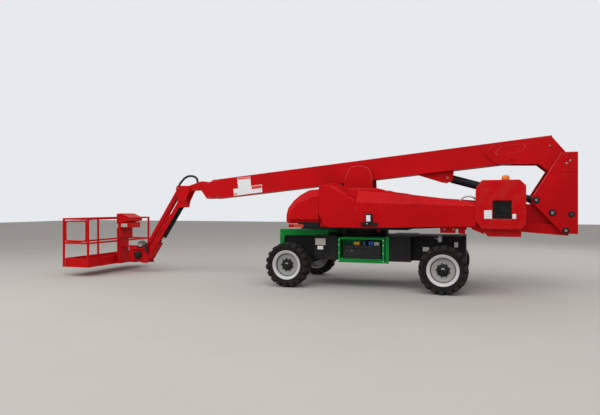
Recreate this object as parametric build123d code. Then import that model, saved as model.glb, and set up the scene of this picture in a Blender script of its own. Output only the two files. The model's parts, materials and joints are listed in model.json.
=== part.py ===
from build123d import *
import os
from math import cos, hypot, radians, sin

# Self-propelled boom lift: turntable, riser, upright, telescopic main boom, jib and platform.
# Working frame: millimetres, x forward from the middle of the wheelbase, y to the machine's
# left, z up from the ground. export() moves everything so that x = 0 is the middle of the
# whole machine's length.

# Running gear
TYRE_D = 920
TYRE_W = 360
LUG_H = 26
LUG_COUNT = 14
LUG_ROOT = 30
TYRE_SIDES = 2 * LUG_COUNT
SHOULDER_R = 362
BEAD_Y = 128
RIM_R = 303
RIM_SEAT_R = 290
SEAT_GAP = 0.3
OVERALL_W = 2490
WHEELBASE = 3100
HUB_R = 105
WHEEL_Y = (OVERALL_W - TYRE_W) / 2
AXLE_Z = TYRE_D / 2
AXLE_X = WHEELBASE / 2
HUB_INNER = 100
SPINDLE_R = 60
SPINDLE_FIT = 0.1
FLANGE_R = 130
FLANGE_T = 25
END_GAP = 5
KINGPIN_Y = 850
KINGPIN_R = 35
KINGPIN_BOSS_R = 55
BOSS_HALF_H = 135
FORK_T = 30
FORK_HALF_W = 60
FORK_GAP = 3

# Chassis
CHASSIS_BOTTOM = 565
CHASSIS_TOP = 1060
CHASSIS_PLATE_T = 20
CHASSIS_REAR = -1950
CHASSIS_FRONT = 1880
CENTRE_REAR = -920
CENTRE_FRONT = 1050
CENTRE_HALF_W = 880
REAR_HALF_W = 545
FRONT_HALF_W = 700
BAY_REAR = -430
BAY_FRONT = 564
BAY_DEPTH = 420
BATTERY_FRAME_T = 60
BATTERY_FRAME_Z = (505, 1035)
BATTERY_FRAME_DEPTH = 350
BATTERY_FRAME_PROUD = 30
BAY_CLEARANCE = 0.3
BATTERY_TOP = 905
BATTERY_X = (-344, 433)
BATTERY_D = 330
TOP_STRIP_Z = 1180
LEG_REAR = 1650
LEG_FRONT = 1805
LEG_BOTTOM = 880
STRIP_REAR = 728
TIE_DOWN_Y = 380
TIE_DOWN_T = 25
TIE_DOWN_R = 25
TIE_DOWN_OUTLINE = ((SEAT_GAP, 660), (120, 700), (120, 790), (SEAT_GAP, 830))
TIE_DOWN_REACH = 75
TIE_DOWN_Z = 745

# Slewing gear and turntable
SLEW_X = 150
SLEW_R = 500
SLEW_INNER_R = 380
SLEW_TOP = 1200
DECK_T = 40
RUN_GAP = 6
DECK_LOW = SLEW_TOP + SEAT_GAP
DECK_HIGH = DECK_LOW + DECK_T
COVER_SEAT = DECK_HIGH + SEAT_GAP
COUNTERWEIGHT_X = (-2982, -2132)
DECK_X = (-900, 1250)
DECK_HALF_W = 1100
WALL_REAR = -2900
COVER_INNER = 420
COVER_OUTER = 1200
COVER_SLOPE = 150
COVER_T = 8
COVER_SECTIONS = (
    # x, bottom, crease, top
    (96.7, COVER_SEAT, 1746, 1990),
    (-530, COVER_SEAT + 8, 1723, 1942),
    (COUNTERWEIGHT_X[1] + SEAT_GAP, 1290, 1665, 1738),
)
PANEL_T = 20
PANEL_FACE = (
    (97, COVER_SEAT), (750, COVER_SEAT), (864, 1507), (864, 2070), (770, 2115), (420, 2084), (97, 1765),
)
PANEL_BODY = ((97, COVER_SEAT), (864, COVER_SEAT), (864, 2070), (770, 2115), (420, 2084), (97, 1765))
PANEL_HOLLOW = ((109, 1240), (852, 1240), (852, 2060), (768, 2102), (425, 2071), (109, 1760))
HOOD_INNER_Y = 426
HOOD_OUTER_Y = 1190
HOOD_OUTER = ((872, 1337), (1494, 1340), (1549, 1504), (1257, 1963), (872, 2010))
HOOD_HOLLOW = ((871, 1336), (1484, 1336), (1536, 1503), (1250, 1951), (871, 1998))
HOOD_HINGE = (440, 1996)
HINGE_R = 12.5
HINGE_PIN_R = 8
HINGE_BARREL_X = (872, 960)
HINGE_PIN_FIT = 0.1
HOOD_RIB = ((900, 1380), (1460, 1383), (1495, 1500), (1230, 1915), (900, 1955))
COUNTERWEIGHT_Z = (1245, 2139)
COUNTERWEIGHT_CUT = 105
COUNTERWEIGHT_LOW = 1105
COUNTERWEIGHT_FOOT_X = (-2910, -2342)
COUNTERWEIGHT_FOOT_Y = (520, 1100)
LOUVRE_DEPTH = 20
LOUVRE_BACK_T = 8
LOUVRE_X = (-2743, -2418)
LOUVRE_Z = (1432, 1764)
LOUVRE_COUNT = 9
BEACON_X = -2680
BEACON_Y = 800
BEACON_BASE_R = 55
BEACON_BASE_H = 30
BEACON_R = 42
BEACON_H = 100
CONTROL_FOOT = ((-317, -72), (1279, 1330))
CONTROL_BOX = ((-257, -112), (1330, 1511))
CONTROL_DEPTH = 38
POWER_UNIT = ((880, 1330), (-1120, -470), 1560)
OIL_TANK = ((880, 1330), (470, 1120), 1540)
CHANNEL_PLATE_T = 30
CHANNEL_HALF_W = 380

# Riser parallelogram: pivots in the x-z plane
RISER_FRONT = (450, 1835)
RISER_REAR = (-3510, 1535)
LINK_REAR = (-3740, 1200)
RISER_HALF_W = 200
RISER_HALF_D = 140
RISER_WALL = 14
LINK_BAR_Y = (215, 255)
LINK_HALF_D = 95
PIN_R = 38
BOSS_R = 66
LINK_TUBES = (2300, 3700)
CLEVIS_GAP = 62
PIN_FIT = 0.1

# Upright
UPRIGHT_REAR = -3949
UPRIGHT_PLATE_Y = (320, 350)
UPRIGHT_TOP = 2687
UPRIGHT_BOTTOM = 1141
UPRIGHT_OUTLINE = (
    (UPRIGHT_REAR, UPRIGHT_BOTTOM), (-3687, UPRIGHT_BOTTOM), (-3167, 1730), (-3167, 1850),
    (-3460, 2150), (-3640, 2400), (-3640, UPRIGHT_TOP), (UPRIGHT_REAR, UPRIGHT_TOP),
)
UPRIGHT_BACK_T = 30
UPRIGHT_BACK_TOP = 2380
UPRIGHT_SHELVES = (
    # front end along x, height of the underside
    (-3600, 2240),
    (-3430, 1850),
)

# Main boom
BOOM_PIVOT = (-3763, 2571)
BOOM_SLOPE = 5.8
BOOM_HALF_W = 200
BOOM_FLOOR = 37
BOOM_ROOF = 482
BOOM_START = 190
BOOM_END = 7545
BOOM_WALL = 12
SECTION_GAP = 14
MID_STEP = 75
TAIL_PLATE_T = 30
TAIL_OUTLINE = (
    (-2295, 2711), (-2509, 2918), (-3508, 3016), (-3757, 2700), (-3840, 2600), (-3763, 2466),
    (-3464, 2330), (-3289, 2480), (-2531, 2500), (-2509, 2506),
)
BOOM_PIN_R = 50
COLLAR = 120
MID_START = 500
FLY_START = 760
HEAD_GAP = 6
HEAD_OUTLINE = ((3952, 1845), (4113, 2056), (4113, 2270))
HEAD_HOLLOW = ((3935, 1890), (4080, 2080), (4080, 2240))
NOSE_OUTLINE = ((4100, 2056), (4330, 2050), (4480, 2040), (4510, 2155), (4194, 2253), (4100, 2268))
HEAD_PIN_R = 34
REST_U = (3790, 4250)
REST_GAP = 1
REST_EAR = 330
REST_T = 25
REST_WEB_Y = 165
REST_OUTER = 245
REST_FOOT = (3440, 3960)
HEAD_PIVOT = (4490, 2100)
HEAD_HALF_W = 100
BOOM_BOSS_R = 105

# Lift cylinder
LIFT_BASE = (-3232, 1780)
LIFT_EYE = (-1580, 2253)
LIFT_BARREL_R = 72
LIFT_CLEVIS = ((-950, 2330), (-1700, 2400), (-1660, 2200), (-1580, 2160), (-1480, 2190))
LIFT_ROD_R = 45

# Riser cylinder
RISER_CYL_BASE = (350, 1345)
RISER_BARREL_R = 66
RISER_CYL_ALONG = 1500
RISER_CYL_DROP = 250

# Jib
JIB_UPPER = (4750, 2110)
JIB_LOWER = (4710, 1800)
JIB_DX = 960
JIB_DZ = -1480
JIB_ARM_HALF_D = 50
JIB_UPPER_HALF_W = 70
JIB_WALL = 10
JIB_PLATE_Y = (80, 105)
JIB_CYL_BASE = (4700, 1690)
JIB_CYL_ALONG = 1150
JIB_CYL_DROP = 60
JIB_BARREL_R = 50
JIB_ROD_R = 28
JIB_PIN_R = 22
JIB_WEB = (1250, 1700)
BRACKET_Y = (110, 135)
BRACKET_OUTLINE = (
    (4425, 2050), (4440, 2165), (4790, 2170), (4815, 2090),
    (4775, 1800), (4745, 1640), (4600, 1640), (4560, 1800),
)
BRACKET_BACK_X = (4600, 4620)
BRACKET_BACK_Z = (1640, 2050)
BRACKET_LUG = ((4620, 1650), (4620, 1735), (4715, 1735), (4745, 1690), (4715, 1645))
JIB_CYL_PIN_R = 20
SUPPORT_OUTLINE = ((5610, 255), (5625, 330), (5650, 680), (5760, 700), (6010, 610), (6010, 320), (5760, 250))
SHAFT_R = 45

# Platform
ROTATOR_X = 6100
ROTATOR_R = 130
ROTATOR_Z = (290, 640)
PLATFORM_REAR = 6500
PLATFORM_FRONT = 7250
PLATFORM_HALF_W = 1220
PLATFORM_BOTTOM = 220
FLOOR_TOP = 262
RAIL_TOP = 1385
MID_RAIL_Z = 790
RAIL_D = 42
TOE_TOP = 430
TOE_T = 8
MAST_D = 90
MAST_HALF_W = 180
MAST_WALL = 12
ARM_T = 28
ARM_HALF_W = 110
CONSOLE_X = (6150, 6450)
CONSOLE_Z = (1130, 1470)
CONSOLE_HALF_W = 350
CONSOLE_WALL = 6
GATE_TUBE = 36
GATE_GAP = 14
GATE_PIN_R = 8
GATE_PIN_RUN = 12

CENTRE_X = (PLATFORM_FRONT + UPRIGHT_REAR) / 2


def export(name, *solids):
    """Write one node: its solids, moved so that x = 0 is the middle of the machine."""
    moved = [solid.moved(Location((-CENTRE_X, 0, 0))) for solid in solids]
    export_step(moved[0] if len(moved) == 1 else Compound(children=moved), f"parts/{name}.step")


def block(x_range, y_range, z_range):
    """A box given by its limits along x, y and z."""
    sizes = [high - low for low, high in (x_range, y_range, z_range)]
    middle = [(high + low) / 2 for low, high in (x_range, y_range, z_range)]
    return Pos(*middle) * Box(*sizes)


def plate(outline, y_from, y_to):
    """A flat plate with its outline in x and z, from y_from to y_to."""
    edge = Polyline(*[(x, y_from, z) for x, z in outline], close=True)
    return extrude(make_face(edge), amount=y_to - y_from, dir=(0, 1, 0))


def cross_pin(at, radius, y_from, y_to):
    """A round bar along y through the point at (x, z)."""
    base = Plane(origin=(at[0], y_from, at[1]), z_dir=(0, 1, 0))
    return Solid.make_cylinder(radius, y_to - y_from, base)


def bar_x(at, radius, x_from, x_to):
    """A round bar along x through the point at (y, z)."""
    base = Plane(origin=(x_from, at[0], at[1]), z_dir=(1, 0, 0))
    return Solid.make_cylinder(radius, x_to - x_from, base)


def upright_pin(x, y, radius, z_low, z_high):
    """A round bar along z through the point at (x, y)."""
    return Pos(x, y, (z_low + z_high) / 2) * Cylinder(radius, z_high - z_low)


def bar(start, end, radius):
    """A round bar between two points of the x-z plane."""
    direction = Vector(end[0] - start[0], 0, end[1] - start[1])
    base = Plane(origin=(start[0], 0, start[1]), z_dir=direction)
    return Solid.make_cylinder(radius, direction.length, base)


def mirrored(shape):
    """The same shape on the machine's other side."""
    return mirror(shape, about=Plane.XZ)


def both_sides(shape):
    return [shape, mirrored(shape)]


def along(start, end, distance, drop=0):
    """The point a distance along a line, moved sideways to its right by drop."""
    length = hypot(end[0] - start[0], end[1] - start[1])
    ex = (end[0] - start[0]) / length
    ez = (end[1] - start[1]) / length
    return (start[0] + distance * ex + drop * ez, start[1] + distance * ez - drop * ex)


def offset_outline(start, end, half_depth, start_round, end_round):
    """The outline of a straight arm between two pivots, running past each by its rounding."""
    return [
        along(start, end, -start_round, half_depth),
        along(start, end, -start_round, -half_depth),
        along(end, start, -end_round, half_depth),
        along(end, start, -end_round, -half_depth),
    ]


def turned_wheel(profile):
    """A ring turned from its profile of (offset along the axle, radius) points."""
    edge = Polyline(*[(0, y, r) for y, r in profile], close=True)
    return revolve(make_face(edge), axis=Axis.Y)


def wheel_polygon(offset, radius):
    """A many-sided section across the axle, with a flat side for each lug."""
    section = RegularPolygon(radius, TYRE_SIDES, major_radius=False, rotation=180 / TYRE_SIDES)
    return Plane(origin=(0, offset, 0), x_dir=(1, 0, 0), z_dir=(0, 1, 0)) * section


def tyre():
    """A carcass of flat sides, its sidewalls dished down to the rim, with its lugs."""
    tread_r = TYRE_D / 2 - LUG_H
    half = TYRE_W / 2
    bore = RIM_SEAT_R + SEAT_GAP
    crown = ((-half, SHOULDER_R), (-half + 14, tread_r), (half - 14, tread_r), (half, SHOULDER_R))
    carcass = loft([wheel_polygon(*row) for row in crown], ruled=True)
    carcass -= extrude(wheel_polygon(-half - 1, bore), amount=TYRE_W + 2)
    slope = (SHOULDER_R - bore) / (half - BEAD_Y)
    for way in (1, -1):
        ends = ((way * BEAD_Y, bore), (way * (half + 10), SHOULDER_R + 10 * slope))
        carcass -= loft([wheel_polygon(*row) for row in ends], ruled=True)
    return carcass + tread_lugs(half)


def tread_lugs(half):
    """Two rows of slanted bars, each bar from the shoulder past the middle of the tread."""
    lugs = []
    pitch = 360 / LUG_COUNT
    for row, first in ((1, 0), (-1, pitch / 2)):
        outline = [(-46, half - 2), (-10, half - 2), (46, -12), (12, -12)]
        foot = make_face(Polyline(*[(x, row * y) for x, y in outline], close=True))
        lug = extrude(Plane.XY.offset(-TYRE_D / 2) * foot, amount=LUG_H + LUG_ROOT, dir=(0, 0, 1))
        lugs += [lug.rotate(Axis.Y, first + index * pitch) for index in range(LUG_COUNT)]
    return lugs


def rim():
    """The rim with its flanges and the dished disc that the hub carries."""
    return turned_wheel([
        (150, RIM_R),
        (150, 280),
        (62, 265),
        (56, HUB_R + SEAT_GAP),
        (40, HUB_R + SEAT_GAP),
        (-150, 275),
        (-150, RIM_R),
        (-140, RIM_R),
        (-140, RIM_SEAT_R),
        (140, RIM_SEAT_R),
        (140, RIM_R),
    ])


def hub():
    """The planetary hub through the wheel's disc, with its bore for the spindle."""
    return turned_wheel([
        (-HUB_INNER, SPINDLE_R + SPINDLE_FIT),
        (-HUB_INNER, HUB_R),
        (100, HUB_R),
        (118, 84),
        (118, 0),
        (0, 0),
        (0, SPINDLE_R + SPINDLE_FIT),
    ])


def place_wheels():
    """The same wheel at each corner, mirrored on the right side."""
    parts = (("tyre", tyre()), ("rim", rim()), ("hub", hub()))
    for corner, x in (("front", AXLE_X), ("rear", -AXLE_X)):
        for name, solid in parts:
            left = solid.moved(Location((x, WHEEL_Y, AXLE_Z)))
            export(f"{name}_{corner}_left", left)
            export(f"{name}_{corner}_right", mirrored(left))


def spindle(x):
    """The wheel's stub shaft and its flange, on the left side."""
    inner = WHEEL_Y - HUB_INNER
    shaft = cross_pin((x, AXLE_Z), SPINDLE_R, inner - END_GAP, WHEEL_Y - END_GAP)
    flange = cross_pin((x, AXLE_Z), FLANGE_R, inner - END_GAP - FLANGE_T, inner - END_GAP)
    return shaft + flange


def front_axle():
    """A fixed beam: the motors and flanges sit at its ends."""
    end = WHEEL_Y - HUB_INNER - END_GAP - FLANGE_T
    beam_z = (AXLE_Z - 100, CHASSIS_BOTTOM - SEAT_GAP)
    beam = block((AXLE_X - 90, AXLE_X + 90), (-end, end), beam_z)
    for side in both_sides(spindle(AXLE_X)):
        beam += side
    return beam


def rear_axle():
    """The steered axle: a beam with a kingpin boss at each end."""
    beam_z = (AXLE_Z - 90, CHASSIS_BOTTOM - SEAT_GAP)
    beam = block((-AXLE_X - 80, -AXLE_X + 80), (-740, 740), beam_z)
    neck = block((-AXLE_X - 50, -AXLE_X + 50), (730, KINGPIN_Y), (AXLE_Z - 90, AXLE_Z + 90))
    low, high = AXLE_Z - BOSS_HALF_H, AXLE_Z + BOSS_HALF_H
    boss = upright_pin(-AXLE_X, KINGPIN_Y, KINGPIN_BOSS_R, low, high)
    bore = upright_pin(-AXLE_X, KINGPIN_Y, KINGPIN_R + PIN_FIT, low - 1, high + 1)
    for side in both_sides(neck + boss):
        beam += side
    for side in both_sides(bore):
        beam -= side
    return beam


def knuckle():
    """The left steering knuckle: a fork round the kingpin boss and the spindle outside it."""
    arm_z = BOSS_HALF_H + FORK_GAP
    web_y = KINGPIN_Y + KINGPIN_BOSS_R + 8
    x_range = (-AXLE_X - FORK_HALF_W, -AXLE_X + FORK_HALF_W)
    flange_y = WHEEL_Y - HUB_INNER - END_GAP - FLANGE_T
    fork = Part()
    for low in (AXLE_Z + arm_z, AXLE_Z - arm_z - FORK_T):
        fork += block(x_range, (KINGPIN_Y, flange_y), (low, low + FORK_T))
        fork += upright_pin(-AXLE_X, KINGPIN_Y, FORK_HALF_W, low, low + FORK_T)
    web_z = (AXLE_Z - arm_z - FORK_T, AXLE_Z + arm_z + FORK_T)
    fork += block(x_range, (web_y, flange_y), web_z)
    fork += upright_pin(-AXLE_X, KINGPIN_Y, KINGPIN_R, *web_z)
    return fork + spindle(-AXLE_X)


def chassis_box(x_range, y_range):
    """One closed box of the frame, welded from plates."""
    t = CHASSIS_PLATE_T
    shell = block(x_range, y_range, (CHASSIS_BOTTOM, CHASSIS_TOP))
    inside = [(low + t, high - t) for low, high in (x_range, y_range, (CHASSIS_BOTTOM, CHASSIS_TOP))]
    return shell - block(*inside)


def chassis_frame():
    """Closed boxes: a wide middle with a bay on each side and a narrow end over each axle."""
    g = SEAT_GAP
    spine_half = CENTRE_HALF_W - BAY_DEPTH
    boxes = [
        chassis_box((CHASSIS_REAR, CENTRE_REAR - g), (-REAR_HALF_W, REAR_HALF_W)),
        chassis_box((CENTRE_REAR, CENTRE_FRONT), (-spine_half, spine_half)),
        chassis_box((CENTRE_FRONT + g, CHASSIS_FRONT), (-FRONT_HALF_W, FRONT_HALF_W)),
    ]
    for x_range in ((CENTRE_REAR, BAY_REAR), (BAY_FRONT, CENTRE_FRONT)):
        boxes += both_sides(chassis_box(x_range, (spine_half + g, CENTRE_HALF_W)))
    return boxes + tie_down_lugs()


def tie_down_lugs():
    """A pair of bored plates at each end of the chassis."""
    lugs = []
    for end, way in ((CHASSIS_FRONT, 1), (CHASSIS_REAR, -1)):
        outline = [(end + way * x, z) for x, z in TIE_DOWN_OUTLINE]
        lug = plate(outline, TIE_DOWN_Y, TIE_DOWN_Y + TIE_DOWN_T)
        bore_at = (end + way * TIE_DOWN_REACH, TIE_DOWN_Z)
        lug -= cross_pin(bore_at, TIE_DOWN_R, TIE_DOWN_Y - 5, TIE_DOWN_Y + TIE_DOWN_T + 5)
        lugs += both_sides(lug)
    return lugs


def battery_frames():
    """The square-tube frame that stands in each bay of the chassis."""
    low, high = BATTERY_FRAME_Z
    t = BATTERY_FRAME_T
    x_low, x_high = BAY_REAR + BAY_CLEARANCE, BAY_FRONT - BAY_CLEARANCE
    inner = CENTRE_HALF_W - BATTERY_FRAME_DEPTH
    outer = CENTRE_HALF_W + BATTERY_FRAME_PROUD
    frame = block((x_low, x_high), (inner, outer), (low, high))
    frame -= block((x_low + t / 2, x_high - t / 2), (inner - 1, outer + 1), (low + t, high - t))
    return both_sides(frame)


def battery_boxes():
    floor = BATTERY_FRAME_Z[0] + BATTERY_FRAME_T
    box = block(BATTERY_X, (CENTRE_HALF_W - BATTERY_D, CENTRE_HALF_W - 10), (floor, BATTERY_TOP))
    return both_sides(box)


def front_guards():
    """The strip along the chassis top and the leg inside each front wheel."""
    y_range = (FRONT_HALF_W - 60, FRONT_HALF_W + 60)
    strip = block((STRIP_REAR, LEG_FRONT), y_range, (CHASSIS_TOP, TOP_STRIP_Z))
    leg = block((LEG_REAR, LEG_FRONT), (FRONT_HALF_W, FRONT_HALF_W + 60), (LEG_BOTTOM, CHASSIS_TOP))
    return both_sides(strip + leg)


def slew_bearing():
    height = SLEW_TOP - CHASSIS_TOP
    ring = Cylinder(SLEW_R, height) - Cylinder(SLEW_INNER_R, height)
    return Pos(SLEW_X, 0, CHASSIS_TOP + height / 2) * ring


def link_front():
    """The lower link's front pivot, which makes the riser a true parallelogram."""
    return (
        RISER_FRONT[0] + LINK_REAR[0] - RISER_REAR[0],
        RISER_FRONT[1] + LINK_REAR[1] - RISER_REAR[1],
    )


def turntable_frame():
    """The deck on the slewing ring and two long plates that carry riser, covers and weights."""
    deck = block(DECK_X, (-DECK_HALF_W, DECK_HALF_W), (DECK_LOW, DECK_HIGH))
    outline = [
        (1250, DECK_LOW), (1250, 1500), (640, 1985), (300, 1985),
        (-200, 1780), (WALL_REAR, 1560), (WALL_REAR, 1290), (DECK_X[0], DECK_LOW),
    ]
    inner = CHANNEL_HALF_W - CHANNEL_PLATE_T
    wall = plate(outline, inner, CHANNEL_HALF_W)
    wall += cross_pin(RISER_FRONT, BOSS_R, RISER_HALF_W + END_GAP, inner)
    wall += cross_pin(link_front(), BOSS_R, LINK_BAR_Y[1] + END_GAP, inner)
    for side in both_sides(wall):
        deck += side
    deck += cross_pin(RISER_FRONT, PIN_R, -inner, inner)
    for side in both_sides(cross_pin(link_front(), PIN_R, LINK_BAR_Y[0], inner)):
        deck += side
    base_x, base_z = RISER_CYL_BASE
    lug = plate([(base_x - 80, DECK_HIGH), (base_x + 80, DECK_HIGH), (base_x + 45, base_z + 50),
                 (base_x - 45, base_z + 50)], RISER_BARREL_R + 5, RISER_BARREL_R + 30)
    for side in both_sides(lug):
        deck += side
    deck += cross_pin(RISER_CYL_BASE, PIN_R, -RISER_BARREL_R - 30, RISER_BARREL_R + 30)
    return deck


def cover_section(x, bottom, crease, top, inset=0):
    """One cross-section of a side cover, in y and z."""
    points = [
        (COVER_INNER, bottom),
        (COVER_OUTER - inset, bottom),
        (COVER_OUTER - inset, crease - inset / 2),
        (COVER_OUTER - COVER_SLOPE - inset, top - inset),
        (COVER_INNER, top - inset),
    ]
    return make_face(Polyline(*[(x, y, z) for y, z in points], close=True))


def side_covers():
    """The long hollow covers, sloped in towards the boom above a crease."""
    sections = COVER_SECTIONS
    outer = loft([cover_section(*row) for row in sections], ruled=True)
    inner_rows = [list(row) for row in sections]
    inner_rows[0][0] -= COVER_T
    inner_rows[-1][0] += COVER_T
    inner = loft([cover_section(*row, inset=COVER_T) for row in inner_rows], ruled=True)
    cover = outer - inner.moved(Location((0, -COVER_T, 0)))
    return both_sides(cover)


def front_panels():
    """The fixed bodies behind the hoods and the plate that stands proud on each."""
    body = plate(PANEL_BODY, COVER_INNER, COVER_OUTER - PANEL_T)
    body -= plate(PANEL_HOLLOW, COVER_INNER - 1, COVER_OUTER - PANEL_T - COVER_T)
    face = plate(PANEL_FACE, COVER_OUTER - PANEL_T, COVER_OUTER)
    pin = bar_x(HOOD_HINGE, HINGE_PIN_R, PANEL_BODY[1][0] - COVER_T, HINGE_BARREL_X[1] - 10)
    return both_sides(body + face + pin)


def hood():
    """The left hood: a shell open below, behind and towards the boom."""
    shell = plate(HOOD_OUTER, HOOD_INNER_Y, HOOD_OUTER_Y)
    shell -= plate(HOOD_HOLLOW, HOOD_INNER_Y - 1, HOOD_OUTER_Y - COVER_T)
    shell += plate(HOOD_RIB, HOOD_OUTER_Y, HOOD_OUTER_Y + 6)
    shell += bar_x(HOOD_HINGE, HINGE_R, *HINGE_BARREL_X)
    rear, front = HINGE_BARREL_X
    return shell - bar_x(HOOD_HINGE, HINGE_PIN_R + HINGE_PIN_FIT, rear - 1, front + 1)


def counterweights():
    low, high = COUNTERWEIGHT_Z
    rear, front = COUNTERWEIGHT_X
    cut = COUNTERWEIGHT_CUT
    outline = [
        (rear, low + cut), (rear + cut, low), (front - cut, low), (front, low + cut),
        (front, high - cut - 40), (front - cut, high), (rear + cut, high), (rear, high - cut),
    ]
    weight = plate(outline, CHANNEL_HALF_W + SEAT_GAP, COVER_OUTER)
    weight += block(COUNTERWEIGHT_FOOT_X, COUNTERWEIGHT_FOOT_Y, (COUNTERWEIGHT_LOW, low))
    recess = block(LOUVRE_X, (COVER_OUTER - LOUVRE_DEPTH, COVER_OUTER + 1), LOUVRE_Z)
    return both_sides(weight - recess)


def louvres():
    """The slatted panel let into each counterweight."""
    back = COVER_OUTER - LOUVRE_DEPTH
    face = back + LOUVRE_BACK_T
    panel = block(LOUVRE_X, (back, face), LOUVRE_Z)
    pitch = (LOUVRE_Z[1] - LOUVRE_Z[0]) / LOUVRE_COUNT
    for index in range(LOUVRE_COUNT):
        low = LOUVRE_Z[0] + index * pitch + pitch * 0.2
        slat_x = (LOUVRE_X[0] + 20, LOUVRE_X[1] - 20)
        panel += block(slat_x, (face, COVER_OUTER - 2), (low, low + pitch * 0.5))
    return both_sides(panel)


def beacon():
    low = COUNTERWEIGHT_Z[1]
    top = low + BEACON_BASE_H
    base = upright_pin(BEACON_X, BEACON_Y, BEACON_BASE_R, low, top)
    return base + upright_pin(BEACON_X, BEACON_Y, BEACON_R, top, top + BEACON_H)


def control_box():
    """The ground controls on the left cover, on their wider foot."""
    (box_x, box_z), (foot_x, foot_z) = CONTROL_BOX, CONTROL_FOOT
    box = block(box_x, (COVER_OUTER, COVER_OUTER + CONTROL_DEPTH), box_z)
    return box + block(foot_x, (COVER_OUTER, COVER_OUTER + CONTROL_DEPTH + 4), foot_z)


def under_hood(x_range, y_range, top):
    """A plain block on the deck: the power unit, or the oil tank."""
    return block(x_range, y_range, (DECK_HIGH, top))


def box_arm(start, end, half_depth, half_width, wall, start_run, end_run):
    """An open-ended rectangular tube between two pivots."""
    outer = plate(offset_outline(start, end, half_depth, start_run, end_run), -half_width, half_width)
    inner = offset_outline(start, end, half_depth - wall, start_run + 1, end_run + 1)
    return outer - plate(inner, -half_width + wall, half_width - wall)


def riser():
    arm = box_arm(RISER_FRONT, RISER_REAR, RISER_HALF_D, RISER_HALF_W, RISER_WALL, 90, 90)
    for at in (RISER_FRONT, RISER_REAR):
        arm -= cross_pin(at, PIN_R + PIN_FIT, -RISER_HALF_W - 1, RISER_HALF_W + 1)
    clevis = [
        along(RISER_FRONT, RISER_REAR, RISER_CYL_ALONG - 150, -RISER_HALF_D),
        along(RISER_FRONT, RISER_REAR, RISER_CYL_ALONG + 150, -RISER_HALF_D),
        along(RISER_FRONT, RISER_REAR, RISER_CYL_ALONG + 50, -RISER_CYL_DROP - 50),
        along(RISER_FRONT, RISER_REAR, RISER_CYL_ALONG - 50, -RISER_CYL_DROP - 50),
    ]
    for side in both_sides(plate(clevis, CLEVIS_GAP, CLEVIS_GAP + 25)):
        arm += side
    return arm


def boom_rest():
    """The saddle on the riser that the stowed boom lies in: a floor, two webs and two ears."""
    rear, front = REST_U
    top = BOOM_FLOOR - REST_GAP
    low = top - REST_T
    floor = boom_box(REST_U, (low, top), REST_OUTER)
    foot = [along(RISER_REAR, RISER_FRONT, distance, -RISER_HALF_D) for distance in reversed(REST_FOOT)]
    under = low - SEAT_GAP
    web = plate([boom_at(rear, under), boom_at(front, under), *foot], REST_WEB_Y, REST_WEB_Y + REST_T)
    base = top + SEAT_GAP
    corners = ((rear, base), (rear + 90, REST_EAR), (front - 100, REST_EAR), (front, base))
    ear = plate([boom_at(*corner) for corner in corners], BOOM_HALF_W + 8, REST_OUTER)
    return [floor, *both_sides(web), *both_sides(ear)]


def riser_link():
    """Two flat bars joined by tubes clear of the riser's cylinder."""
    front = link_front()
    outline = offset_outline(front, LINK_REAR, LINK_HALF_D, 70, 70)
    link = plate(outline, *LINK_BAR_Y)
    for at in (front, LINK_REAR):
        link -= cross_pin(at, PIN_R + PIN_FIT, LINK_BAR_Y[0] - 1, LINK_BAR_Y[1] + 1)
    link = link + mirrored(link)
    for distance in LINK_TUBES:
        link += cross_pin(along(front, LINK_REAR, distance), 45, -LINK_BAR_Y[0], LINK_BAR_Y[0])
    return link


def upright():
    """Two side plates with bosses, the pins from the left one, and a back with two shelves."""
    inner, outer = UPRIGHT_PLATE_Y
    bosses = (
        # centre, boss radius, inner face, pin radius
        (RISER_REAR, BOSS_R, RISER_HALF_W + END_GAP, PIN_R),
        (BOOM_PIVOT, BOOM_BOSS_R, BOOM_HALF_W + TAIL_PLATE_T + END_GAP, BOOM_PIN_R),
        (LIFT_BASE, BOSS_R, LIFT_BARREL_R + END_GAP, PIN_R),
    )
    side_plate = plate(UPRIGHT_OUTLINE, inner, outer)
    side_plate += cross_pin(LINK_REAR, BOSS_R, LINK_BAR_Y[1] + END_GAP, inner)
    side_plate += cross_pin(LINK_REAR, PIN_R, LINK_BAR_Y[0], inner)
    for at, radius, face, _ in bosses:
        side_plate += cross_pin(at, radius, face, inner)
    left = side_plate
    for at, _, face, pin_r in bosses:
        left += cross_pin(at, pin_r, SEAT_GAP - face, face)
    back = UPRIGHT_REAR + UPRIGHT_BACK_T
    half = inner - SEAT_GAP
    spine = block((UPRIGHT_REAR, back), (-half, half), (UPRIGHT_BOTTOM + 40, UPRIGHT_BACK_TOP))
    for front, low in UPRIGHT_SHELVES:
        spine += block((back, front), (-half, half), (low, low + UPRIGHT_BACK_T))
    return [left, mirrored(side_plate), spine]


def boom_at(u, w):
    """The point u along the boom and w above its pivot line, in x and z."""
    slope = radians(BOOM_SLOPE)
    return (
        BOOM_PIVOT[0] + u * cos(slope) + w * sin(slope),
        BOOM_PIVOT[1] - u * sin(slope) + w * cos(slope),
    )


def boom_box(u_range, w_range, half_width):
    (u0, u1), (w0, w1) = u_range, w_range
    corners = ((u0, w0), (u1, w0), (u1, w1), (u0, w1))
    return plate([boom_at(u, w) for u, w in corners], -half_width, half_width)


def boom_section(u_range, floor, roof, half_width, wall, collar):
    """A hollow section; a collar of wear pads at its front end guides the next one."""
    u0, u1 = u_range
    tube_solid = boom_box(u_range, (floor, roof), half_width)
    tube_solid -= boom_box((u0 - 1, u1 - collar), (floor + wall, roof - wall), half_width - wall)
    if collar:
        fit = wall + SECTION_GAP - SEAT_GAP
        tube_solid -= boom_box((u1 - collar - 1, u1 + 1), (floor + fit, roof - fit), half_width - fit)
    return tube_solid


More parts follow.
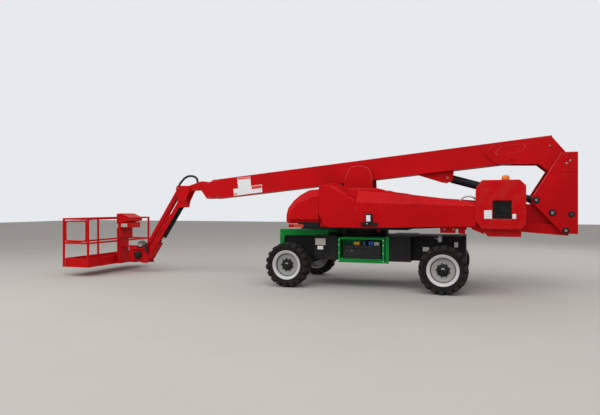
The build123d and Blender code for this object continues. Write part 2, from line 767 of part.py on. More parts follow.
def boom_base():
    section = boom_section((BOOM_START, BOOM_END), BOOM_FLOOR, BOOM_ROOF, BOOM_HALF_W, BOOM_WALL, COLLAR)
    tail = plate(TAIL_OUTLINE, BOOM_HALF_W, BOOM_HALF_W + TAIL_PLATE_T)
    tail += cross_pin(BOOM_PIVOT, BOOM_BOSS_R, BOOM_HALF_W, BOOM_HALF_W + TAIL_PLATE_T)
    tail -= cross_pin(BOOM_PIVOT, BOOM_PIN_R + PIN_FIT, BOOM_HALF_W - 1, BOOM_HALF_W + TAIL_PLATE_T + 1)
    for side in both_sides(tail):
        section += side
    clevis = plate(LIFT_CLEVIS, CLEVIS_GAP, CLEVIS_GAP + 28)
    for side in both_sides(clevis):
        section += side
    return section


def boom_mid():
    inset = BOOM_WALL + SECTION_GAP
    return boom_section((MID_START, BOOM_END + MID_STEP), BOOM_FLOOR + inset, BOOM_ROOF - inset,
                        BOOM_HALF_W - inset, BOOM_WALL, COLLAR)


def boom_fly():
    """The last section and its head, which stays outside the section round it."""
    inset = 2 * (BOOM_WALL + SECTION_GAP)
    head_start = BOOM_END + MID_STEP + HEAD_GAP
    fly = boom_section((FLY_START, head_start + 1), BOOM_FLOOR + inset, BOOM_ROOF - inset,
                       BOOM_HALF_W - inset, BOOM_WALL, 0)
    top = BOOM_ROOF - 36
    bottom = BOOM_FLOOR + 25
    outer = [boom_at(head_start, bottom), *HEAD_OUTLINE, boom_at(head_start, top)]
    inner = [boom_at(head_start - 2, bottom + inset), *HEAD_HOLLOW, boom_at(head_start - 2, top - 15)]
    head_y = BOOM_HALF_W - inset + BOOM_WALL
    hollow_y = head_y - 2 * BOOM_WALL
    head = plate(outer, -head_y, head_y)
    hollow = plate(inner, -hollow_y, hollow_y)
    nose = plate(NOSE_OUTLINE, -HEAD_HALF_W, HEAD_HALF_W)
    nose += cross_pin(HEAD_PIVOT, 62, -HEAD_HALF_W, HEAD_HALF_W)
    nose -= cross_pin(HEAD_PIVOT, HEAD_PIN_R + PIN_FIT, -HEAD_HALF_W - 1, HEAD_HALF_W + 1)
    return fly + (head - hollow) + nose


def level_bracket():
    """The bracket that keeps the jib's roots upright at the boom's head."""
    inner, outer = BRACKET_Y
    side_plate = plate(BRACKET_OUTLINE, inner, outer)
    side_plate += cross_pin(JIB_LOWER, JIB_PIN_R, JIB_PLATE_Y[0], inner)
    body = side_plate + mirrored(side_plate)
    body += block(BRACKET_BACK_X, (-inner, inner), BRACKET_BACK_Z)
    lug_y = JIB_BARREL_R + 4
    for side in both_sides(plate(BRACKET_LUG, lug_y, lug_y + 18)):
        body += side
    body += cross_pin(JIB_CYL_BASE, JIB_CYL_PIN_R, -lug_y, lug_y)
    body += cross_pin(JIB_UPPER, JIB_PIN_R, -inner, inner)
    body += cross_pin(HEAD_PIVOT, HEAD_PIN_R, -inner, inner)
    return body


def jib_far(root):
    return (root[0] + JIB_DX, root[1] + JIB_DZ)


def jib_upper():
    far = jib_far(JIB_UPPER)
    depth, width = JIB_ARM_HALF_D, JIB_UPPER_HALF_W
    arm = plate(offset_outline(JIB_UPPER, far, depth, 0, 0), -width, width)
    hollow = offset_outline(JIB_UPPER, far, depth - JIB_WALL, -90, -90)
    arm -= plate(hollow, -width + JIB_WALL, width - JIB_WALL)
    for at in (JIB_UPPER, far):
        arm += cross_pin(at, depth, -width, width)
        arm -= cross_pin(at, JIB_PIN_R + PIN_FIT, -width - 1, width + 1)
    return arm


def jib_lower():
    """Two plates with the jib's cylinder between them, joined by a web along the lower half."""
    far = jib_far(JIB_LOWER)
    inner, outer = JIB_PLATE_Y
    arm = plate(offset_outline(JIB_LOWER, far, JIB_ARM_HALF_D, 0, 0), inner, outer)
    arm += cross_pin(JIB_LOWER, JIB_ARM_HALF_D, inner, outer)
    arm += cross_pin(far, JIB_ARM_HALF_D, inner, outer)
    for at in (JIB_LOWER, far):
        arm -= cross_pin(at, JIB_PIN_R + PIN_FIT, inner - 1, outer + 1)
    body = arm + mirrored(arm)
    start, end = JIB_WEB
    low, high = JIB_ARM_HALF_D, JIB_ARM_HALF_D + JIB_WALL
    corners = ((start, low), (end, low), (end, high), (start, high))
    return body + plate([along(JIB_LOWER, far, s, d) for s, d in corners], -outer, outer)


def platform_support():
    """The bracket at the jib's far end and the housing of the platform's rotator."""
    inner, outer = BRACKET_Y
    side_plate = plate(SUPPORT_OUTLINE, inner, outer)
    side_plate += cross_pin(jib_far(JIB_LOWER), JIB_PIN_R, JIB_PLATE_Y[0], inner)
    body = side_plate + mirrored(side_plate)
    body += cross_pin(jib_far(JIB_UPPER), JIB_PIN_R, -inner, inner)
    low, high = ROTATOR_Z
    body += block((5860, ROTATOR_X - 90), (-inner, inner), (low + 10, high - 10))
    body += upright_pin(ROTATOR_X, 0, ROTATOR_R, low, high)
    return body - upright_pin(ROTATOR_X, 0, SHAFT_R + PIN_FIT, low - 1, high + 1)


def platform_floor():
    """The floor and the toe boards round it."""
    x_range = (PLATFORM_REAR, PLATFORM_FRONT)
    floor = block(x_range, (-PLATFORM_HALF_W, PLATFORM_HALF_W), (PLATFORM_BOTTOM, FLOOR_TOP))
    inset = RAIL_D + SEAT_GAP
    board_x = (PLATFORM_REAR + inset, PLATFORM_FRONT - inset)
    board_y = PLATFORM_HALF_W - inset
    board = block(board_x, (-board_y, board_y), (FLOOR_TOP, TOE_TOP))
    board -= block((board_x[0] + TOE_T, board_x[1] - TOE_T), (-board_y + TOE_T, board_y - TOE_T),
                   (FLOOR_TOP - 1, TOE_TOP + 1))
    return floor + board


def platform_rails():
    """Posts, top rails and mid rails, with the near end's upper half left to the gate."""
    half = RAIL_D / 2
    x_low, x_high = PLATFORM_REAR + half, PLATFORM_FRONT - half
    y_end = PLATFORM_HALF_W - half
    top = RAIL_TOP - half
    frame = Part()
    for x in (x_low, x_high):
        for y in (-y_end, 0, y_end):
            frame += block((x - half, x + half), (y - half, y + half), (FLOOR_TOP, RAIL_TOP - RAIL_D))
        for z in (top, MID_RAIL_Z):
            frame += block((x - half, x + half), (-PLATFORM_HALF_W, PLATFORM_HALF_W), (z - half, z + half))
    for y, heights in ((-y_end, (top, MID_RAIL_Z)), (y_end, (top, MID_RAIL_Z))):
        for z in heights:
            frame += block((x_low, x_high), (y - half, y + half), (z - half, z + half))
    gate_x, gate_z = gate_ranges()
    bore = upright_pin(gate_x[0] + GATE_TUBE / 2, y_end, GATE_PIN_R + HINGE_PIN_FIT,
                       gate_z[0] - GATE_GAP - GATE_PIN_RUN, gate_z[1] + GATE_GAP + GATE_PIN_RUN)
    return frame - bore


def platform_mast():
    """The plate behind the platform, its two arms and the rotator's shaft between them."""
    low, high = ROTATOR_Z
    back = PLATFORM_REAR - MAST_D
    t = MAST_WALL
    mast = block((back, PLATFORM_REAR), (-MAST_HALF_W, MAST_HALF_W), (PLATFORM_BOTTOM, CONSOLE_Z[0]))
    mast -= block((back + t, PLATFORM_REAR + 1), (-MAST_HALF_W + t, MAST_HALF_W - t),
                  (PLATFORM_BOTTOM + t, CONSOLE_Z[0] - t))
    for z_low in (low - RUN_GAP - ARM_T, high + RUN_GAP):
        mast += block((ROTATOR_X, back), (-ARM_HALF_W, ARM_HALF_W), (z_low, z_low + ARM_T))
        mast += upright_pin(ROTATOR_X, 0, ARM_HALF_W, z_low, z_low + ARM_T)
    return mast + upright_pin(ROTATOR_X, 0, SHAFT_R, low - RUN_GAP, high + RUN_GAP)


def console():
    """The control console behind the top rail, with its sloped top."""
    rear, front = CONSOLE_X
    low, high = CONSOLE_Z
    outline = [(rear, low), (front, low), (front, high), (front - 60, high), (rear, high - 110)]
    t = CONSOLE_WALL
    hollow = [(rear + t, low - 1), (front - t, low - 1), (front - t, high - t), (front - 60, high - t),
              (rear + t, high - 110 - t)]
    shell = plate(outline, -CONSOLE_HALF_W, CONSOLE_HALF_W)
    return shell - plate(hollow, -CONSOLE_HALF_W + t, CONSOLE_HALF_W - t)


def gate_ranges():
    """The gate frame's limits along x and z."""
    x_range = (PLATFORM_REAR + RAIL_D + GATE_GAP, PLATFORM_FRONT - RAIL_D - GATE_GAP)
    z_range = (MID_RAIL_Z + RAIL_D / 2 + GATE_GAP, RAIL_TOP - RAIL_D - GATE_GAP)
    return x_range, z_range


def platform_gate():
    """The gate frame in the upper half of the left end."""
    (x_low, x_high), (z_low, z_high) = gate_ranges()
    y_mid = PLATFORM_HALF_W - RAIL_D / 2
    half = GATE_TUBE / 2
    gate = block((x_low, x_high), (y_mid - half, y_mid + half), (z_low, z_high))
    gate -= block((x_low + GATE_TUBE, x_high - GATE_TUBE), (y_mid - half - 1, y_mid + half + 1),
                  (z_low + GATE_TUBE, z_high - GATE_TUBE))
    reach = GATE_GAP + GATE_PIN_RUN - SEAT_GAP
    return gate + upright_pin(x_low + half, y_mid, GATE_PIN_R, z_low - reach, z_high + reach)


def barrel(base, eye, radius, eye_radius, length, bore_r, rod_r, half_width):
    """A cylinder's barrel from its base eye, closed by a gland that the rod passes."""
    body = bar(along(base, eye, eye_radius - 8), along(base, eye, length), radius)
    body += cross_pin(base, eye_radius, -half_width, half_width)
    body -= cross_pin(base, bore_r + PIN_FIT, -half_width - 1, half_width + 1)
    body -= bar(along(base, eye, eye_radius + 30), along(base, eye, length + 1), rod_r + PIN_FIT)
    return body


def piston_rod(base, eye, radius, start, eye_radius, half_width):
    """A rod from inside its barrel to the eye that carries its pin."""
    body = bar(along(base, eye, start), eye, radius)
    return body + cross_pin(eye, eye_radius, -half_width, half_width)


def riser_cylinder_eye():
    return along(RISER_FRONT, RISER_REAR, RISER_CYL_ALONG, -RISER_CYL_DROP)


def jib_cylinder_eye():
    return along(JIB_LOWER, jib_far(JIB_LOWER), JIB_CYL_ALONG, JIB_CYL_DROP)


CYLINDERS = (
    # name, base, eye, barrel radius, rod radius, eye radius, barrel length, pin radius, rod eye half width
    ("lift", LIFT_BASE, LIFT_EYE, LIFT_BARREL_R, LIFT_ROD_R, 60, 1560, PIN_R, 55),
    ("riser", RISER_CYL_BASE, riser_cylinder_eye(), RISER_BARREL_R, 40, 60, 1220, PIN_R, 50),
    ("jib", JIB_CYL_BASE, jib_cylinder_eye(), JIB_BARREL_R, JIB_ROD_R, 44, 940, JIB_CYL_PIN_R, 50),
)


def export_cylinders():
    for name, base, eye, barrel_r, rod_r, eye_r, length, pin_r, half_width in CYLINDERS:
        export(f"{name}_cylinder_barrel", barrel(base, eye, barrel_r, eye_r, length, pin_r, rod_r, barrel_r))
        export(f"{name}_cylinder_rod", piston_rod(base, eye, rod_r, eye_r + 60, eye_r, half_width))


os.makedirs("parts", exist_ok=True)
place_wheels()
export("front_axle", front_axle())
export("rear_axle", rear_axle())
export("knuckle_left", knuckle())
export("knuckle_right", mirrored(knuckle()))
export("chassis_frame", *chassis_frame())
export("battery_frames", *battery_frames())
export("battery_boxes", *battery_boxes())
export("front_guards", *front_guards())
export("slew_bearing", slew_bearing())
export("turntable_frame", turntable_frame())
export("side_covers", *side_covers())
export("front_panels", *front_panels())
export("hood_left", hood())
export("hood_right", mirrored(hood()))
export("counterweights", *counterweights())
export("louvres", *louvres())
export("beacon", beacon())
export("control_box", control_box())
export("power_unit", under_hood(*POWER_UNIT))
export("hydraulic_tank", under_hood(*OIL_TANK))
export("riser", riser())
export("boom_rest", *boom_rest())
export("riser_link", riser_link())
export("upright", *upright())
export("boom_base", boom_base())
export("boom_mid", boom_mid())
export("boom_fly", boom_fly())
export("level_bracket", level_bracket())
export("jib_upper", jib_upper())
export("jib_lower", jib_lower())
export("platform_support", platform_support())
export("platform_floor", platform_floor())
export("platform_rails", platform_rails())
export("platform_mast", platform_mast())
export("console", console())
export("platform_gate", platform_gate())
export_cylinders()
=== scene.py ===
import bpy
import bmesh
import json
import math
import random
from mathutils import Matrix, Vector


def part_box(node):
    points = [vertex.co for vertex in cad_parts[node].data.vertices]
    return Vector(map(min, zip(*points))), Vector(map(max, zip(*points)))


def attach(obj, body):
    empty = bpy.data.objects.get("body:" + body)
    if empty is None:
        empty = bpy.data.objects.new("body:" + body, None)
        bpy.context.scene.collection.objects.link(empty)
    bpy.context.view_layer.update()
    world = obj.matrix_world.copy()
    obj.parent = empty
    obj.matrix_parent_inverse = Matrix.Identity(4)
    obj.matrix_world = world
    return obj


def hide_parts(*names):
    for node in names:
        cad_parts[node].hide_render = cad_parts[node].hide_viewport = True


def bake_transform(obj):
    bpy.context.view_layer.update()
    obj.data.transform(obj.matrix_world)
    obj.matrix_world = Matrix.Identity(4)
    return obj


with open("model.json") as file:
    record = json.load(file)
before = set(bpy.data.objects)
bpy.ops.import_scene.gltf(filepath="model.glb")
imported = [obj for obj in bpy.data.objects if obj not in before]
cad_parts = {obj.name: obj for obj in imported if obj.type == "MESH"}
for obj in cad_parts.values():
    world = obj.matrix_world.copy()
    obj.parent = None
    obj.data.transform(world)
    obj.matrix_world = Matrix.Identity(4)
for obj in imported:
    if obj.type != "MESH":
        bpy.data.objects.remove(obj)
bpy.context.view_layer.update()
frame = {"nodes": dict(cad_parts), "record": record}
print("frame loaded:", len(frame["nodes"]), "nodes")

# The machine's own x starts at the middle of the wheelbase; the frame's x is this much less.
machineShift = 1.6505


def spot(x, y, z):
    return Vector((x - machineShift, y, z))


# camera and light

cameraSet = {"place": (-2.10, 11.23, 1.638), "heading": 198.5, "lens": 31.2, "sensor": 36.0}
lightSet = {
    "sky": 0.50, "backdrop": (0.80, 0.82, 0.84), "floorColour": (0.50, 0.475, 0.44), "floorSize": 90.0,
    "lamps": (
        # energy, size, place, target
        (950.0, 12.0, (-2.0, 9.0, 11.0), (1.5, 0.0, 1.0)),
        (420.0, 9.0, (9.5, 6.5, 7.5), (2.0, 0.0, 1.0)),
        (420.0, 10.0, (-6.0, -9.0, 9.0), (1.0, 0.0, 1.2)),
    ),
}


def buildCamera(c):
    data = bpy.data.cameras.new("photoCamera")
    data.lens, data.sensor_width, data.clip_end = c["lens"], c["sensor"], 400.0
    camera = bpy.data.objects.new("photoCamera", data)
    camera.location = spot(*c["place"])
    camera.rotation_euler = (math.radians(90), 0, math.radians(c["heading"]))
    bpy.context.scene.collection.objects.link(camera)
    bpy.context.scene.camera = camera


def buildLights(c):
    for index, (energy, size, place, target) in enumerate(c["lamps"]):
        data = bpy.data.lights.new(f"softLamp{index}", "AREA")
        data.energy, data.size = energy, size
        lamp = bpy.data.objects.new(f"softLamp{index}", data)
        lamp.location = spot(*place)
        lamp.rotation_euler = (spot(*target) - lamp.location).to_track_quat("-Z", "Y").to_euler()
        bpy.context.scene.collection.objects.link(lamp)


class Value:
    # a node's output that can be used in plain sums

    def __init__(self, finish, out):
        self.finish, self.out = finish, out

    def sum(self, operation, *others):
        return self.finish.node("ShaderNodeMath", {"operation": operation}, dict(enumerate((self, *others))))

    def __add__(self, other):
        return self.sum("ADD", other)

    def __mul__(self, other):
        return self.sum("MULTIPLY", other)

    def __sub__(self, other):
        return self.sum("SUBTRACT", other)

    def __rsub__(self, other):
        return (self * -1.0) + other

    def __pow__(self, other):
        return self.sum("POWER", other)

    __radd__, __rmul__ = __add__, __mul__

    def clamped(self):
        return self.finish.node("ShaderNodeClamp", {}, {0: self})

    def above(self, edge, width):
        return self.finish.node("ShaderNodeMapRange", {"interpolation_type": "SMOOTHSTEP"},
                                {0: self, 1: edge - width, 2: edge + width})


class Finish:
    # one material with its principled shader, built from node calls

    def __init__(self, name):
        self.material = bpy.data.materials.new(name)
        self.material.use_nodes = True
        self.tree = self.material.node_tree
        self.tree.nodes.clear()
        output = self.tree.nodes.new("ShaderNodeOutputMaterial")
        self.shader = self.tree.nodes.new("ShaderNodeBsdfPrincipled")
        self.tree.links.new(self.shader.outputs[0], output.inputs[0])
        self.place = self.node("ShaderNodeTexCoord", {}, {}, "Object")

    def node(self, kind, settings, sockets, output=0):
        made = self.tree.nodes.new(kind)
        for key, value in settings.items():
            if key == "stops":
                ramp = made.color_ramp
                while len(ramp.elements) < len(value):
                    ramp.elements.new(0.5)
                for element, (position, colour) in zip(ramp.elements, value):
                    element.position, element.color = position, (*colour, 1.0)
            else:
                setattr(made, key, value)
        for key, value in sockets.items():
            self.feed(made.inputs[key], value)
        return Value(self, made.outputs[output])

    def feed(self, socket, value):
        if isinstance(value, Value):
            self.tree.links.new(value.out, socket)
        elif hasattr(value, "__len__") and len(value) == 3 and len(socket.default_value) == 4:
            socket.default_value = (*value, 1.0)
        else:
            socket.default_value = value

    def set(self, **sockets):
        for key, value in sockets.items():
            self.feed(self.shader.inputs[key.replace("_", " ")], value)

    def stretched(self, scale):
        return self.node("ShaderNodeMapping", {}, {"Vector": self.place, "Scale": scale})

    def noise(self, scale, detail=2.0, rough=0.5, where=None):
        return self.node("ShaderNodeTexNoise", {}, {"Vector": where or self.place, "Scale": scale, "Detail": detail,
                                                    "Roughness": rough}, "Fac")

    def cells(self, scale, feature="F1", output="Distance", where=None):
        return self.node("ShaderNodeTexVoronoi", {"feature": feature}, {"Vector": where or self.place, "Scale": scale},
                         output)

    def mix(self, factor, first, second):
        return self.node("ShaderNodeMix", {"data_type": "RGBA"}, {"Factor": factor, 6: first, 7: second}, 2)

    def bump(self, height, strength, distance):
        return self.node("ShaderNodeBump", {}, {"Height": height, "Strength": strength, "Distance": distance})

    def part(self, vector, axis):
        return self.node("ShaderNodeSeparateXYZ", {}, {0: vector}, axis)

    def facing(self):
        return self.part(self.node("ShaderNodeNewGeometry", {}, {}, "Normal"), "Z")

    def edge(self):
        return self.node("ShaderNodeAttribute", {"attribute_name": "edge"}, {}, "Fac")


dustColour = (0.30, 0.25, 0.19)


def coated(name, colour, roughness, coat, dust, shine=0.12, peel=0.05):
    # sprayed paint: slow shifts of tone, orange peel, dust where it settles, and lighter edges that are partly wear and
    # partly painted highlight
    f = Finish(name)
    slow = f.noise(0.9, 3.0)
    cloud = f.noise(4.5, 6.0, 0.65)
    streak = f.noise(1.0, 4.0, 0.6, f.stretched((9.0, 9.0, 0.8)))
    up = f.facing().above(0.55, 0.35)
    low = (0.95 - f.part(f.place, "Z")).clamped()
    settled = (cloud.above(0.52, 0.16) * (up * 0.5 + low * 0.55 + 0.07) + streak.above(0.60, 0.12) * 0.07) * dust
    dark = tuple(c * 0.80 for c in colour)
    # the lighter edge tone is partly edge wear and partly a painted highlight on lit edges
    wornAndLitEdge = tuple(min(1.0, c * 1.25 + 0.035) for c in colour)
    tone = f.mix(slow.above(0.5, 0.22), colour, dark)
    rubbedAndLitEdges = f.edge() * f.noise(23.0, 4.0).above(0.54, 0.08)
    tone = f.mix(rubbedAndLitEdges * 0.55, tone, wornAndLitEdge)
    tone = f.mix(settled.clamped(), tone, dustColour)
    f.set(Base_Color=tone, Roughness=(settled * 0.45 + cloud * 0.10 + (roughness - 0.05)).clamped(),
          Normal=f.bump(f.noise(260.0, 2.0) + cloud * 0.4, peel, 0.0012))
    f.set(Coat_Weight=coat, Coat_Roughness=0.12, Specular_IOR_Level=shine)
    return f.material


def cast(name, colour):
    # thick paint on rough iron: the sand grain still shows
    f = Finish(name)
    slow, grain = f.noise(1.2, 3.0), f.noise(70.0, 6.0, 0.6)
    pits = f.cells(38.0)
    dust = f.noise(5.0, 6.0, 0.6).above(0.55, 0.15) * (f.facing().above(0.5, 0.3) * 0.35 + 0.05)
    tone = f.mix(slow.above(0.5, 0.25), colour, tuple(c * 0.82 for c in colour))
    # the lighter edge tone is partly edge wear and partly a painted highlight on lit edges
    tone = f.mix(f.edge() * f.noise(18.0, 3.0).above(0.52, 0.1) * 0.4, tone, tuple(c * 1.2 + 0.03 for c in colour))
    f.set(Base_Color=f.mix(dust, tone, dustColour), Roughness=grain * 0.16 + 0.30,
          Normal=f.bump(grain + pits * 0.35, 0.16, 0.003))
    f.set(Coat_Weight=0.02, Coat_Roughness=0.25, Specular_IOR_Level=0.08)
    return f.material


def rubberFinish(name, dark, light):
    f = Finish(name)
    grain, blotch = f.noise(140.0, 5.0), f.noise(7.0, 6.0, 0.7)
    dust = blotch.above(0.50, 0.14) * 0.10
    tone = f.mix(f.noise(2.5, 3.0), dark, light)
    f.set(Base_Color=f.mix(dust, tone, (0.115, 0.098, 0.080)), Roughness=blotch * 0.22 + 0.66,
          Normal=f.bump(grain + f.cells(85.0) * 0.3, 0.22, 0.0015))
    f.set(Specular_IOR_Level=0.20)
    return f.material


def metal(name, colour, roughness, brushed=0.0, metallic=1.0):
    f = Finish(name)
    blotch = f.noise(12.0, 5.0, 0.6)
    fine = f.noise(300.0, 2.0, where=f.stretched((1.0, 1.0, 0.1))) if brushed else f.noise(220.0, 3.0)
    tone = f.mix(blotch, colour, tuple(c * 0.72 for c in colour))
    f.set(Base_Color=tone, Roughness=blotch * 0.18 + (roughness - 0.06), Normal=f.bump(fine, 0.06 + brushed, 0.0008))
    f.set(Metallic=metallic)
    return f.material


def plastic(name, colour, roughness, grain=240.0, depth=0.12):
    f = Finish(name)
    cloud = f.noise(6.0, 5.0, 0.6)
    dust = cloud.above(0.55, 0.14) * (f.facing().above(0.5, 0.3) * 0.14 + 0.04)
    tone = f.mix(f.noise(2.0, 2.0), colour, tuple(c * 0.8 for c in colour))
    f.set(Base_Color=f.mix(dust, tone, dustColour), Roughness=cloud * 0.12 + (roughness - 0.06),
          Normal=f.bump(f.cells(grain), depth, 0.0006))
    f.set(Specular_IOR_Level=0.20)
    return f.material


def lens(name, colour, glow):
    f = Finish(name)
    ribs = f.noise(3.0, 2.0)
    f.set(Base_Color=f.mix(ribs, colour, tuple(c * 0.8 for c in colour)), Roughness=ribs * 0.05 + 0.10)
    f.set(Transmission_Weight=0.35, IOR=1.49, Emission_Color=colour, Emission_Strength=glow)
    return f.material


def label(name, colour):
    # a bare printed film, a little faded and scuffed
    f = Finish(name)
    scuff = f.noise(60.0, 5.0, 0.7).above(0.62, 0.10) * 0.18
    tone = f.mix(f.noise(8.0, 3.0) * 0.5, colour, tuple(c * 0.86 for c in colour))
    f.set(Base_Color=f.mix(scuff, tone, (0.35, 0.33, 0.30)), Roughness=scuff + 0.30,
          Normal=f.bump(f.noise(30.0, 2.0), 0.03, 0.001))
    f.set(Coat_Weight=0.3, Coat_Roughness=0.2)
    return f.material


redPaint = coated("redPaint", (0.545, 0.0022, 0.0050), 0.42, 0.02, 0.05, 0.07)
# a lighter red used as painted highlight along lit edges, rims and beads
edgeRed = coated("edgeRed", (0.700, 0.060, 0.070), 0.42, 0.02, 0.05, 0.07)
blackPaint = coated("blackPaint", (0.010, 0.0105, 0.012), 0.50, 0.02, 0.16, 0.11)
greenPaint = coated("greenPaint", (0.0015, 0.245, 0.040), 0.38, 0.04, 0.08, 0.12)
# the dish paint is a shaded copy of the rim grey, painted shade; the lip paint is its lit copy, painted highlight on
# the flange
rimPaint = coated("rimPaint", (0.40, 0.395, 0.39), 0.42, 0.10, 0.20, 0.30)
lipPaint = coated("lipPaint", (0.64, 0.635, 0.65), 0.38, 0.10, 0.16, 0.35)
castPaint = cast("castPaint", (0.545, 0.0022, 0.0050))
rubber = rubberFinish("rubber", (0.009, 0.009, 0.009), (0.017, 0.016, 0.015))
# a darker copy of the rubber, painted shade on the tyre body between the lugs
deepRubber = rubberFinish("deepRubber", (0.0020, 0.0020, 0.0022), (0.0045, 0.0045, 0.0045))
hoseRubber = plastic("hoseRubber", (0.016, 0.016, 0.018), 0.52, 320.0, 0.10)
chrome = metal("chrome", (0.78, 0.79, 0.82), 0.12)
zinc = metal("zinc", (0.62, 0.61, 0.57), 0.34)
castIron = plastic("castIron", (0.007, 0.007, 0.008), 0.50, 150.0, 0.25)
darkSteel = metal("darkSteel", (0.10, 0.10, 0.105), 0.42)
pinSteel = metal("pinSteel", (0.30, 0.29, 0.27), 0.50)
alloy = metal("alloy", (0.46, 0.47, 0.49), 0.40)
blackPlastic = plastic("blackPlastic", (0.014, 0.014, 0.016), 0.48)
grit = plastic("grit", (0.006, 0.006, 0.007), 0.80, 120.0, 0.30)
beigePlastic = plastic("beigePlastic", (0.46, 0.45, 0.40), 0.45)
whiteFilm = label("whiteFilm", (0.78, 0.79, 0.80))
redFilm = label("redFilm", (0.62, 0.03, 0.03))
orangeFilm = label("orangeFilm", (0.75, 0.26, 0.04))
blueWire = plastic("blueWire", (0.015, 0.10, 0.42), 0.40)
yellowWire = plastic("yellowWire", (0.58, 0.34, 0.05), 0.40)
signalPlastic = plastic("signalPlastic", (0.62, 0.055, 0.025), 0.42)
amberLens = lens("amberLens", (0.90, 0.24, 0.015), 0.12)
redLens = lens("redLens", (0.75, 0.05, 0.02), 0.10)
print("finishes made")


def buildStage(c):
    world = bpy.data.worlds.new("studio")
    world.use_nodes = True
    bpy.context.scene.world = world
    tree = world.node_tree
    tree.nodes.clear()
    rays = tree.nodes.new("ShaderNodeLightPath")
    plain = tree.nodes.new("ShaderNodeBackground")
    shown = tree.nodes.new("ShaderNodeBackground")
    joined = tree.nodes.new("ShaderNodeMixShader")
    seen = tree.nodes.new("ShaderNodeMath")
    seen.operation = "MAXIMUM"
    more = tree.nodes.new("ShaderNodeMath")
    more.operation = "MAXIMUM"
    output = tree.nodes.new("ShaderNodeOutputWorld")
    plain.inputs[0].default_value, plain.inputs[1].default_value = (1.0, 1.0, 1.0, 1.0), c["sky"]
    shown.inputs[0].default_value, shown.inputs[1].default_value = (*c["backdrop"], 1.0), 1.0
    for link in ((rays.outputs["Is Camera Ray"], seen.inputs[0]), (rays.outputs["Is Glossy Ray"], seen.inputs[1]),
                 (seen.outputs[0], more.inputs[0]), (rays.outputs["Is Transmission Ray"], more.inputs[1]),
                 (more.outputs[0], joined.inputs[0]), (plain.outputs[0], joined.inputs[1]),
                 (shown.outputs[0], joined.inputs[2]), (joined.outputs[0], output.inputs[0])):
        tree.links.new(*link)
    half = c["floorSize"] / 2
    mesh = bpy.data.meshes.new("studioFloor")
    mesh.from_pydata([(-half, -half, 0), (half, -half, 0), (half, half, 0), (-half, half, 0)], [], [(0, 1, 2, 3)])
    floor = bpy.data.objects.new("studioFloor", mesh)
    bpy.context.scene.collection.objects.link(floor)
    f = Finish("floorFinish")
    colour = c["floorColour"]
    f.set(Base_Color=f.mix(f.noise(0.7, 5.0, 0.6), colour, tuple(v * 0.9 for v in colour)), Roughness=0.9,
          Normal=f.bump(f.noise(40.0, 4.0), 0.05, 0.004))
    mesh.materials.append(f.material)


buildCamera(cameraSet)
buildLights(lightSet)
buildStage(lightSet)
bpy.context.scene.view_settings.view_transform = "Standard"
print("camera, light and floor made")


# mesh helpers: places are in the machine's own metres, x from the middle of the wheelbase

def evenlyShaded(mesh):
    # large faces keep their own normals, so that the rounded edges beside them don't shade them
    holder = bpy.data.objects.new(mesh.name + "Holder", mesh)
    bpy.context.scene.collection.objects.link(holder)
    weighted = holder.modifiers.new("evenShading", "WEIGHTED_NORMAL")
    weighted.keep_sharp, weighted.weight = True, 90
    graph = bpy.context.evaluated_depsgraph_get()
    shaded = bpy.data.meshes.new_from_object(holder.evaluated_get(graph), preserve_all_data_layers=True,
                                             depsgraph=graph)
    bpy.data.objects.remove(holder)
    return shaded


def addObject(name, bm, material, body, angle=32.0, even=False):
    mesh = bpy.data.meshes.new(name)
    bm.to_mesh(mesh)
    bm.free()
    materials = material if isinstance(material, (list, tuple)) else [material]
    for each in materials:
        mesh.materials.append(each)
    mesh.shade_smooth()
    mesh.set_sharp_from_angle(angle=math.radians(angle))
    made = bpy.data.objects.new(name, evenlyShaded(mesh) if even else mesh)
    bpy.context.scene.collection.objects.link(made)
    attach(made, body)
    return made


def softened(bm, width, segments=2, limit=30.0):
    # rounds the edges sharper than the limit and marks the new faces for the finish's edge wear and painted edge
    # highlight
    layer = bm.faces.layers.float.get("edge") or bm.faces.layers.float.new("edge")
    sharp = [e for e in bm.edges if len(e.link_faces) == 2 and e.calc_face_angle(0.0) > math.radians(limit)]
    if sharp and width:
        made = bmesh.ops.bevel(bm, geom=sharp, offset=width, segments=segments, profile=0.5, affect="EDGES",
                               clamp_overlap=False)
        for face in made["faces"]:
            face[layer] = 1.0
    return bm


def merged(node, flat=0.4):
    # a welded copy of a CAD node's mesh, with its flat faces joined up
    bm = bmesh.new()
    bm.from_mesh(frame["nodes"][node].data)
    bmesh.ops.remove_doubles(bm, verts=bm.verts, dist=0.00002)
    bmesh.ops.dissolve_limit(bm, angle_limit=math.radians(flat), verts=bm.verts, edges=bm.edges)
    return bm


def reshaped(bm, moves, near=0.0015):
    # moves each profile corner, given as machine x and z, to its new place
    for (x, z), (newX, newZ) in moves:
        for v in bm.verts:
            if abs(v.co.x + machineShift - x) < near and abs(v.co.z - z) < near:
                v.co.x, v.co.z = newX - machineShift, newZ
    return bm


def dress(node, material, width=0.003, moves=(), segments=2, limit=30.0):
    body, slot = bodyOf[node], slotOf[node]
    bm = reshaped(merged(node), moves)
    if node == "chassis_frame":
        # the photo shows no lugs behind the rear axle
        gone = [v for v in bm.verts if v.co.x + machineShift < chassisEnd]
        bmesh.ops.delete(bm, geom=gone, context="VERTS")
    softened(bm, width, segments, limit)
    made = addObject(node + "Dressed", bm, material, body, even=True)
    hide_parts(node)
    return made


# trees that repeat or sweep a shape


def newTree(name, sockets):
    tree = bpy.data.node_groups.new(name, "GeometryNodeTree")
    tree.is_modifier = True
    tree.interface.new_socket("Geometry", in_out="INPUT", socket_type="NodeSocketGeometry")
    for label, kind in sockets:
        tree.interface.new_socket(label, in_out="INPUT", socket_type="NodeSocket" + kind)
    tree.interface.new_socket("Geometry", in_out="OUTPUT", socket_type="NodeSocketGeometry")
    return tree, tree.nodes.new("NodeGroupInput"), tree.nodes.new("NodeGroupOutput")


